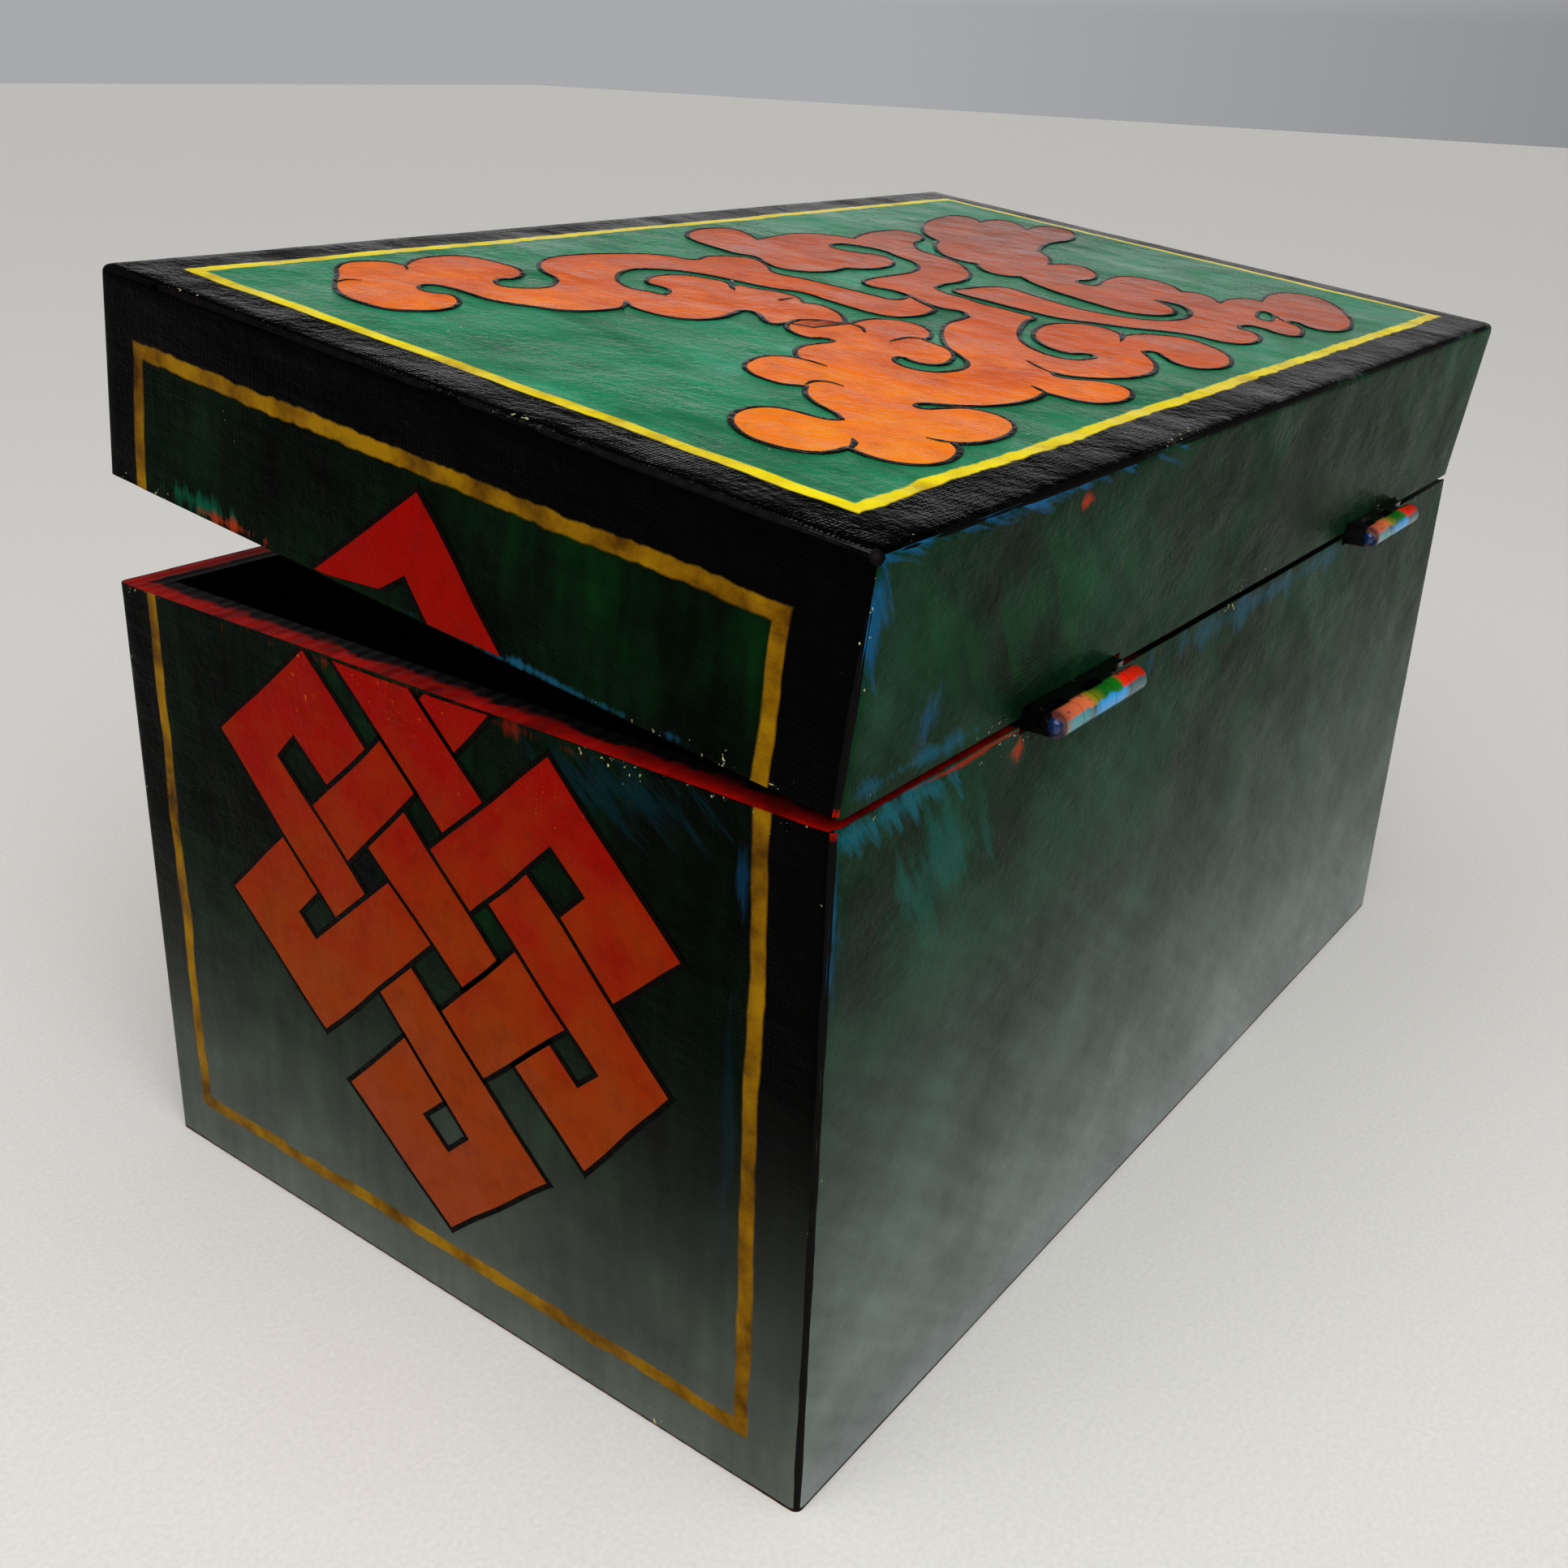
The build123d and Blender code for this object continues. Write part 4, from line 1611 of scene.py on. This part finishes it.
@dataclass
class Hardware:
    """The boards, the hinges and the fasteners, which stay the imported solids."""

    boards: tuple[str, ...] = (
        "base_front_board",
        "base_back_board",
        "base_left_end_board",
        "base_right_end_board",
        "base_bottom_board",
        "lid_top_board",
        "lid_front_board",
        "lid_back_board",
        "lid_left_end_board",
        "lid_right_end_board",
    )
    steel: tuple[str, ...] = (
        "base_corner_nails",
        "base_bottom_nails",
        "base_leaf_screws",
        "lid_corner_nails",
        "lid_top_nails",
        "lid_leaf_screws",
    )

    def dress(self, name: str, material: bpy.types.Material) -> None:
        """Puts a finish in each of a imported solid's material slots.

        Args:
            name: The node's name.
            material: The finish.
        """
        node = bpy.data.objects[name]
        if not node.material_slots:
            node.data.materials.append(material)
        for slot in node.material_slots:
            slot.material = material
        LOG.info("dressed %s", name)

    def build(self) -> None:
        """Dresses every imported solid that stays."""
        base_paint = BoardPaint("painted_softwood_base", Body.BASE, SIZES.rim).make()
        lid_paint = BoardPaint("painted_softwood_lid", Body.LID, SIZES.lid_rim).make()
        for name in self.boards:
            self.dress(name, base_paint if name.startswith(Body.BASE.value) else lid_paint)
        nails = PlainSteel("drawn_mild_steel").make()
        for name in self.steel:
            self.dress(name, nails)
        for place_name, middle in (("near", SIZES.near_hinge), ("far", SIZES.far_hinge)):
            paint = HingePaint(f"painted_steel_{place_name}_hinge", middle).make()
            for part in ("base_leaf", "lid_leaf", "pin"):
                self.dress(f"{place_name}_hinge_{part}", paint)


@dataclass
class Studio:
    """The pale floor, the soft light and the camera at the photograph's view."""

    eye: tuple[float, float, float] = (0.33927, 0.2158, 0.2459)
    right: tuple[float, float, float] = (-0.60341297, 0.79670884, 0.03387944)
    up: tuple[float, float, float] = (-0.28513514, -0.25524340, 0.92387702)
    back: tuple[float, float, float] = (0.7447085, 0.54781916, 0.3811869)
    lens: float = 38.348
    shift: tuple[float, float] = (0.01203, -0.03549)
    floor_reach: float = 6.0
    room_dark: float = 0.24
    room_bright: float = 0.66
    wall_tones: Stops = (
        (0.02, "#C2C3C6"),
        (0.09, "#F4F4F6"),
        (0.16, "#FFFFFF"),
        (0.30, "#303032"),
    )
    bright_wall: tuple[float, float, float] = (-0.46, -0.89, 0.0)
    bright_ends: tuple[float, float] = (0.3, 0.88)
    ceiling_strength: float = 2.2
    ceiling_degrees: float = 92.0
    ceiling_turn: tuple[float, float, float] = (-0.25, 0.35, 0.0)
    lamps: tuple[tuple[str, Sequence[float], Sequence[float], float, float], ...] = (
        ("near_softbox", (0.42, 0.38, 0.7), (0.1, 0.05, 0.1), 0.4, 1.1),
        ("end_softbox", (1.5, -0.5, 1.0), (0.0, 0.0, 0.08), 0.9, 2.4),
        ("back_softbox", (0.5, 1.6, 1.2), (0.0, 0.0, 0.08), 0.9, 2.4),
    )

    def build(self) -> None:
        """Builds the studio."""
        self.lay_floor()
        self.set_lights()
        self.set_camera()

    def lay_floor(self) -> None:
        """Lays a large matt floor under the box."""
        deselect_all()
        bpy.ops.mesh.primitive_plane_add(size=2 * self.floor_reach, location=(0, 0, 0))
        floor = bpy.context.object
        floor.name = "studio_floor"
        bpy.ops.object.mode_set(mode="EDIT")
        bpy.ops.mesh.select_all(action="SELECT")
        bpy.ops.mesh.subdivide(number_cuts=8)
        bpy.ops.object.mode_set(mode="OBJECT")
        material, add = fresh_material("matt_white_paint")
        spot = add("TexCoord", output="Object")
        grain = add("TexNoise", {"Vector": spot, "Scale": 900.0, "Detail": 3.0})
        tone = add("ValToRGB", (grain,), stops=((0.3, "#DEDCD8"), (0.7, "#E6E4E0")))
        normal = add("Bump", {"Height": grain, "Strength": 0.2, "Distance": 0.1 * MM})
        shader = add("BsdfPrincipled", {"Base Color": tone, "Normal": normal, "Roughness": 0.5})
        add("OutputMaterial", {"Surface": shader})
        floor.data.materials.append(material)

    def set_lights(self) -> None:
        """Sets an even pale room and large soft lamps."""
        view = bpy.context.scene.view_settings
        view.view_transform = "Standard"
        view.look = "Medium High Contrast"
        world = bpy.data.worlds.new("studio_air")
        world.use_nodes = True
        world.node_tree.nodes.clear()
        add = partial(add_node, world.node_tree)
        way = add("TexCoord")
        # The walls are bright towards one side of the room only, and pale near the floor
        toward = add("VectorMath", (way, self.bright_wall), "Value", operation="DOT_PRODUCT")
        light = add("MapRange", (toward, *self.bright_ends, self.room_dark, self.room_bright))
        wall = add("ValToRGB", (add("SeparateXYZ", (way,), "Z"),), stops=self.wall_tones)
        air = add("Background", {"Color": wall, "Strength": light})
        add("OutputWorld", {"Surface": air})
        bpy.context.scene.world = world
        deselect_all()
        bpy.ops.object.light_add(type="SUN", rotation=self.ceiling_turn)
        sky = bpy.context.object
        sky.name = "ceiling_glow"
        sky.data.energy = self.ceiling_strength
        sky.data.angle = math.radians(self.ceiling_degrees)
        for lamp in self.lamps:
            self.add_lamp(*lamp)

    def add_lamp(
        self,
        name: str,
        spot: Sequence[float],
        target: Sequence[float],
        size: float,
        power: float,
    ) -> None:
        """Adds a square soft lamp.

        Args:
            name: The lamp's name.
            spot: Where it hangs, in metres.
            target: The point that it faces.
            size: Its side in metres.
            power: Its power in watts.
        """
        deselect_all()
        way = Vector(target) - Vector(spot)
        bpy.ops.object.light_add(
            type="AREA", location=spot, rotation=way.to_track_quat("-Z", "Y").to_euler()
        )
        lamp = bpy.context.object
        lamp.name = name
        lamp.data.size = size
        lamp.data.energy = power

    def set_camera(self) -> None:
        """Sets the camera at the photograph's view."""
        deselect_all()
        bpy.ops.object.camera_add()
        camera = bpy.context.object
        camera.name = "photo_view"
        turned = Matrix((self.right, self.up, self.back)).transposed().to_4x4()
        camera.matrix_world = Matrix.Translation(self.eye) @ turned
        camera.data.lens = self.lens
        camera.data.sensor_width = 36.0
        camera.data.sensor_fit = "HORIZONTAL"
        camera.data.shift_x, camera.data.shift_y = self.shift
        camera.data.clip_start = 0.01
        bpy.context.scene.camera = camera


@dataclass
class JewelryBox:
    """The whole box: its cloth, its ornaments and its hardware."""

    end_ground: Stops = (
        (0.36, "#000200"),
        (0.48, "#011004"),
        (0.58, "#042209"),
        (0.72, "#083A14"),
    )
    top_ground: Stops = (
        (0.34, "#1C6444"),
        (0.47, "#267E56"),
        (0.58, "#2E9068"),
        (0.70, "#46A880"),
    )
    back_ground: Stops = (
        (0.34, "#0A1C10"),
        (0.46, "#0E2C18"),
        (0.58, "#173E26"),
        (0.72, "#22503A"),
    )
    ochre: Stops = ((0.34, "#4A2E04"), (0.48, "#7E5A06"), (0.62, "#9A7408"))
    bright_yellow: Stops = (
        (0.30, "#C8A804"),
        (0.45, "#F0D808"),
        (0.62, "#FFEC20"),
    )

    def end_dabs(self, body: Body) -> tuple[Dabs, ...]:
        """Gives the stray strokes on the ends of one half."""
        if body is Body.BASE:
            return (
                Dabs("#083A46", (46.0, 131.0), (42.0, 13.0), 0.4, 1.8, 0.9),
                Dabs("#124C6E", (75.0, 124.0), (3.0, 14.0), 0.4, 2.4),
                Dabs("#104A5E", (73.0, 70.0), (4.0, 50.0), 0.12, 3.0),
                Dabs("#8A1A08", (0.0, 135.0), (80.0, 3.0), 0.5, 3.0),
            )
        return (
            Dabs("#1A5A74", (30.0, 139.0), (60.0, 2.0), 0.8, 5.0),
            Dabs("#0C6A50", (-60.0, 141.0), (26.0, 6.0), 0.6, 3.0),
            Dabs("#A83A10", (-52.0, 139.5), (22.0, 3.5), 0.8, 3.0),
        )

    def back_dabs_and_edge_sheen(self, body: Body) -> tuple[Dabs, ...]:
        """Gives the stray strokes on the back of one half; the blue ones along its edges are also
        painted sheen.
        """
        if body is Body.BASE:
            # The blue strokes along the rounded top edges, the rim and the near corner are also a
            # painted sheen
            return (
                Dabs("#0C6674", (134.0, 134.5), (46.0, 8.0), 0.8, 2.6, 0.6),
                Dabs("#125E88", (151.0, 118.0), (5.0, 34.0), 0.7, 2.6),
                Dabs("#0E6A60", (120.0, 120.0), (34.0, 22.0), 0.5, 5.0, 0.5),
                Dabs("#A4380C", (97.0, 132.5), (7.0, 4.0), 0.8, 2.6),
                Dabs("#1A5E78", (-20.0, 134.0), (120.0, 7.0), 0.5, 5.0),
                Dabs("#9A240A", (100.0, 136.4), (62.0, 1.2), 0.9, 4.0, 1.5),
            )
        return (
            Dabs("#236A9C", (104.0, 180.0), (94.0, 4.6), 0.75, 3.4, 1.2),
            Dabs("#1E6490", (150.5, 170.0), (7.0, 26.0), 0.7, 3.4, 0.5),
            Dabs("#0E5E76", (128.0, 141.0), (46.0, 4.0), 0.7, 3.0, 0.5),
            Dabs("#1A5A80", (130.0, 148.0), (9.0, 12.0), 0.55, 4.0),
            Dabs("#126A36", (100.0, 160.0), (90.0, 22.0), 0.22, 7.0, 0.6),
            Dabs("#A8380E", (88.0, 176.0), (6.0, 3.0), 0.9, 3.0),
        )

    def cloth_paints(self, body: Body) -> dict[Face, PanelPaint]:
        """Lays out the paint of one half's cloth.

        Args:
            body: The half.

        Returns:
            The paint of each of its faces.
        """
        label = body.value
        long_edge, short_edge, far = SIZES.half_length, SIZES.half_width, 400.0
        if body is Body.BASE:
            low, high = 0.0, SIZES.rim
            bottom, top = 12.6, far
            # The base gets a painted sheen, the floor's reflection painted in
            end_right, back_low, painted_sheen = 78.2, 9.5, 0.82
        else:
            low, high = SIZES.lid_rim, SIZES.lid_top
            bottom, top = -far, 166.5
            end_right, back_low, painted_sheen = 77.1, -far, 0.0
        long_side = (-long_edge, long_edge, low, high)
        paints = {
            Face.NEAR_END: PanelPaint(
                f"oil_on_linen_{label}_ends",
                body,
                1,
                2,
                (-short_edge, short_edge, low, high),
                (-79.8, end_right, bottom, top),
                self.end_ground,
                self.ochre,
                dabs=self.end_dabs(body),
                painted_sheen_amount=painted_sheen,
            ),
            Face.FRONT: PanelPaint(
                f"oil_on_linen_{label}_front",
                body,
                0,
                2,
                long_side,
                (-141.0, 141.0, bottom, top),
                self.end_ground,
                self.ochre,
                painted_sheen_amount=painted_sheen,
            ),
            Face.BACK: PanelPaint(
                f"oil_on_linen_{label}_back",
                body,
                0,
                2,
                long_side,
                (-far, far, back_low, far),
                self.back_ground,
                line_width=0.0,
                # On the back the painted reflection of the floor is paler and reaches higher
                dabs=self.back_dabs_and_edge_sheen(body),
                painted_sheen_amount=1.05 * painted_sheen,
                painted_sheen_height=146.0,
                painted_sheen="#A4ACAA",
                gloss=BACK_GLOSS,
                slant=0.9,
            ),
        }
        if body is Body.LID:
            paints[Face.TOP] = PanelPaint(
                "oil_on_linen_lid_top",
                body,
                0,
                1,
                (-long_edge, long_edge, -short_edge, short_edge),
                (-141.0, 139.0, -79.0, 78.3),
                self.top_ground,
                self.bright_yellow,
                line_width=3.0,
                chips=0.64,
                gloss=TOP_GLOSS,
            )
        return paints

    def wrap_cloth(self) -> None:
        """Wraps both halves in their painted cloth."""
        base = PaintedCloth(
            "base_painted_cloth",
            Body.BASE,
            "base_cloth_covering",
            low=SIZES.cloth_start,
            high=SIZES.rim,
            notch_edge=SIZES.rim,
            notch_depth=1.4,
            covered=False,
            paints=self.cloth_paints(Body.BASE),
        )
        lid = PaintedCloth(
            "lid_painted_cloth",
            Body.LID,
            "lid_cloth_covering",
            low=SIZES.lid_rim,
            high=SIZES.cloth_top,
            notch_edge=SIZES.lid_rim,
            notch_depth=1.6,
            covered=True,
            paints=self.cloth_paints(Body.LID),
        )
        for cloth in (base, lid):
            piece = cloth.build()
            LOG.info("built %s", piece.name)

    def paint_knots(self) -> None:
        """Paints the endless knot on both ends."""
        # The band is redder at its top and lighter and browner low down: partly the paint's own
        # change, partly a painted sheen that stands for the floor's reflection
        hues = (
            (0.0, "#93421E"),
            (0.30, "#913C04"),
            (0.58, "#932600"),
            (0.74, "#920E00"),
            (1.0, "#960400"),
        )
        base_low, lid_high, box_top = 20.0, 165.0, 180.0
        for face, label in ((Face.NEAR_END, "near"), (Face.FAR_END, "far")):
            paints = {}
            for body in Body:
                paints[body] = BrushedPaint(
                    f"red_oil_paint_{body.value}_{label}_knot",
                    body,
                    ("Y", "Z"),
                    (0.0, 0.0, base_low),
                    (0.0, 0.0, lid_high),
                    hues,
                    "#4A0C00",
                    "#D87A18",
                    0.5 if body is Body.BASE else 0.0,
                    (0.55, 0.80),
                ).make()
            outline = BrushedPaint(
                f"black_oil_paint_{label}_knot",
                Body.BASE,
                ("Y", "Z"),
                (0.0, 0.0, 0.0),
                (0.0, 0.0, box_top),
                ((0.0, "#030201"), (1.0, "#0A0503")),
                "#020101",
                "#2A1A0E",
            ).make()
            EndlessKnot(face, label).build(outline, paints[Body.BASE], paints[Body.LID])
            LOG.info("painted the %s knot", label)

    def paint_scrolls(self) -> None:
        """Paints the cloud scroll on the lid's top and a smaller one on the base's front."""
        hues = (
            (0.0, "#FF9400"),
            (0.22, "#FC7E04"),
            (0.42, "#DE6218"),
            (0.70, "#BE5830"),
            (1.0, "#944C38"),
        )
        black = ((0.0, "#0A0804"), (1.0, "#181208"))
        origin, end = (0.0, 0.0, 0.0), (100.0, 0.0, 0.0)
        top = BrushedPaint(
            "orange_oil_paint_top_scroll",
            Body.LID,
            ("X", "Y"),
            (135.0, 75.0, 0.0),
            (-120.0, -60.0, 0.0),
            hues,
            "#8A4210",
            "#F8B020",
            0.3,
            gloss=TOP_GLOSS,
        ).make()
        line = ("black_oil_paint_top_scroll", Body.LID, ("X", "Y"), origin, end, black)
        top_line = BrushedPaint(*line, "#050402", "#3A2A12", gloss=TOP_GLOSS).make()
        scroll = CloudScroll()
        scroll.build("lid_top_scroll", Face.TOP, Body.LID, SIZES.cloth_top, top, top_line)
        front = BrushedPaint(
            "orange_oil_paint_front_scroll",
            Body.BASE,
            ("X", "Z"),
            (0.0, 0.0, 120.0),
            (0.0, 0.0, 20.0),
            hues,
            "#A05A10",
            "#F8B020",
            0.3,
        ).make()
        line = ("black_oil_paint_front_scroll", Body.BASE, ("X", "Z"), origin, end, black)
        front_line = BrushedPaint(*line, "#050402", "#3A2A12").make()
        scroll.build(
            "base_front_scroll",
            Face.FRONT,
            Body.BASE,
            SIZES.half_width,
            front,
            front_line,
            shrink=0.68,
            middle=(2.0, 72.0),
        )
        LOG.info("painted the scrolls")

    def build(self) -> None:
        """Builds the box's looks."""
        Hardware().build()
        self.wrap_cloth()
        self.paint_knots()
        self.paint_scrolls()


def main() -> None:
    """Builds the box and its studio."""
    logging.basicConfig(level=logging.INFO, format="%(name)s: %(message)s")
    noise.seed_set(NOISE_SEED)
    JewelryBox().build()
    Studio().build()
    LOG.info("built the studio")


if __name__ == "__main__":
    main()
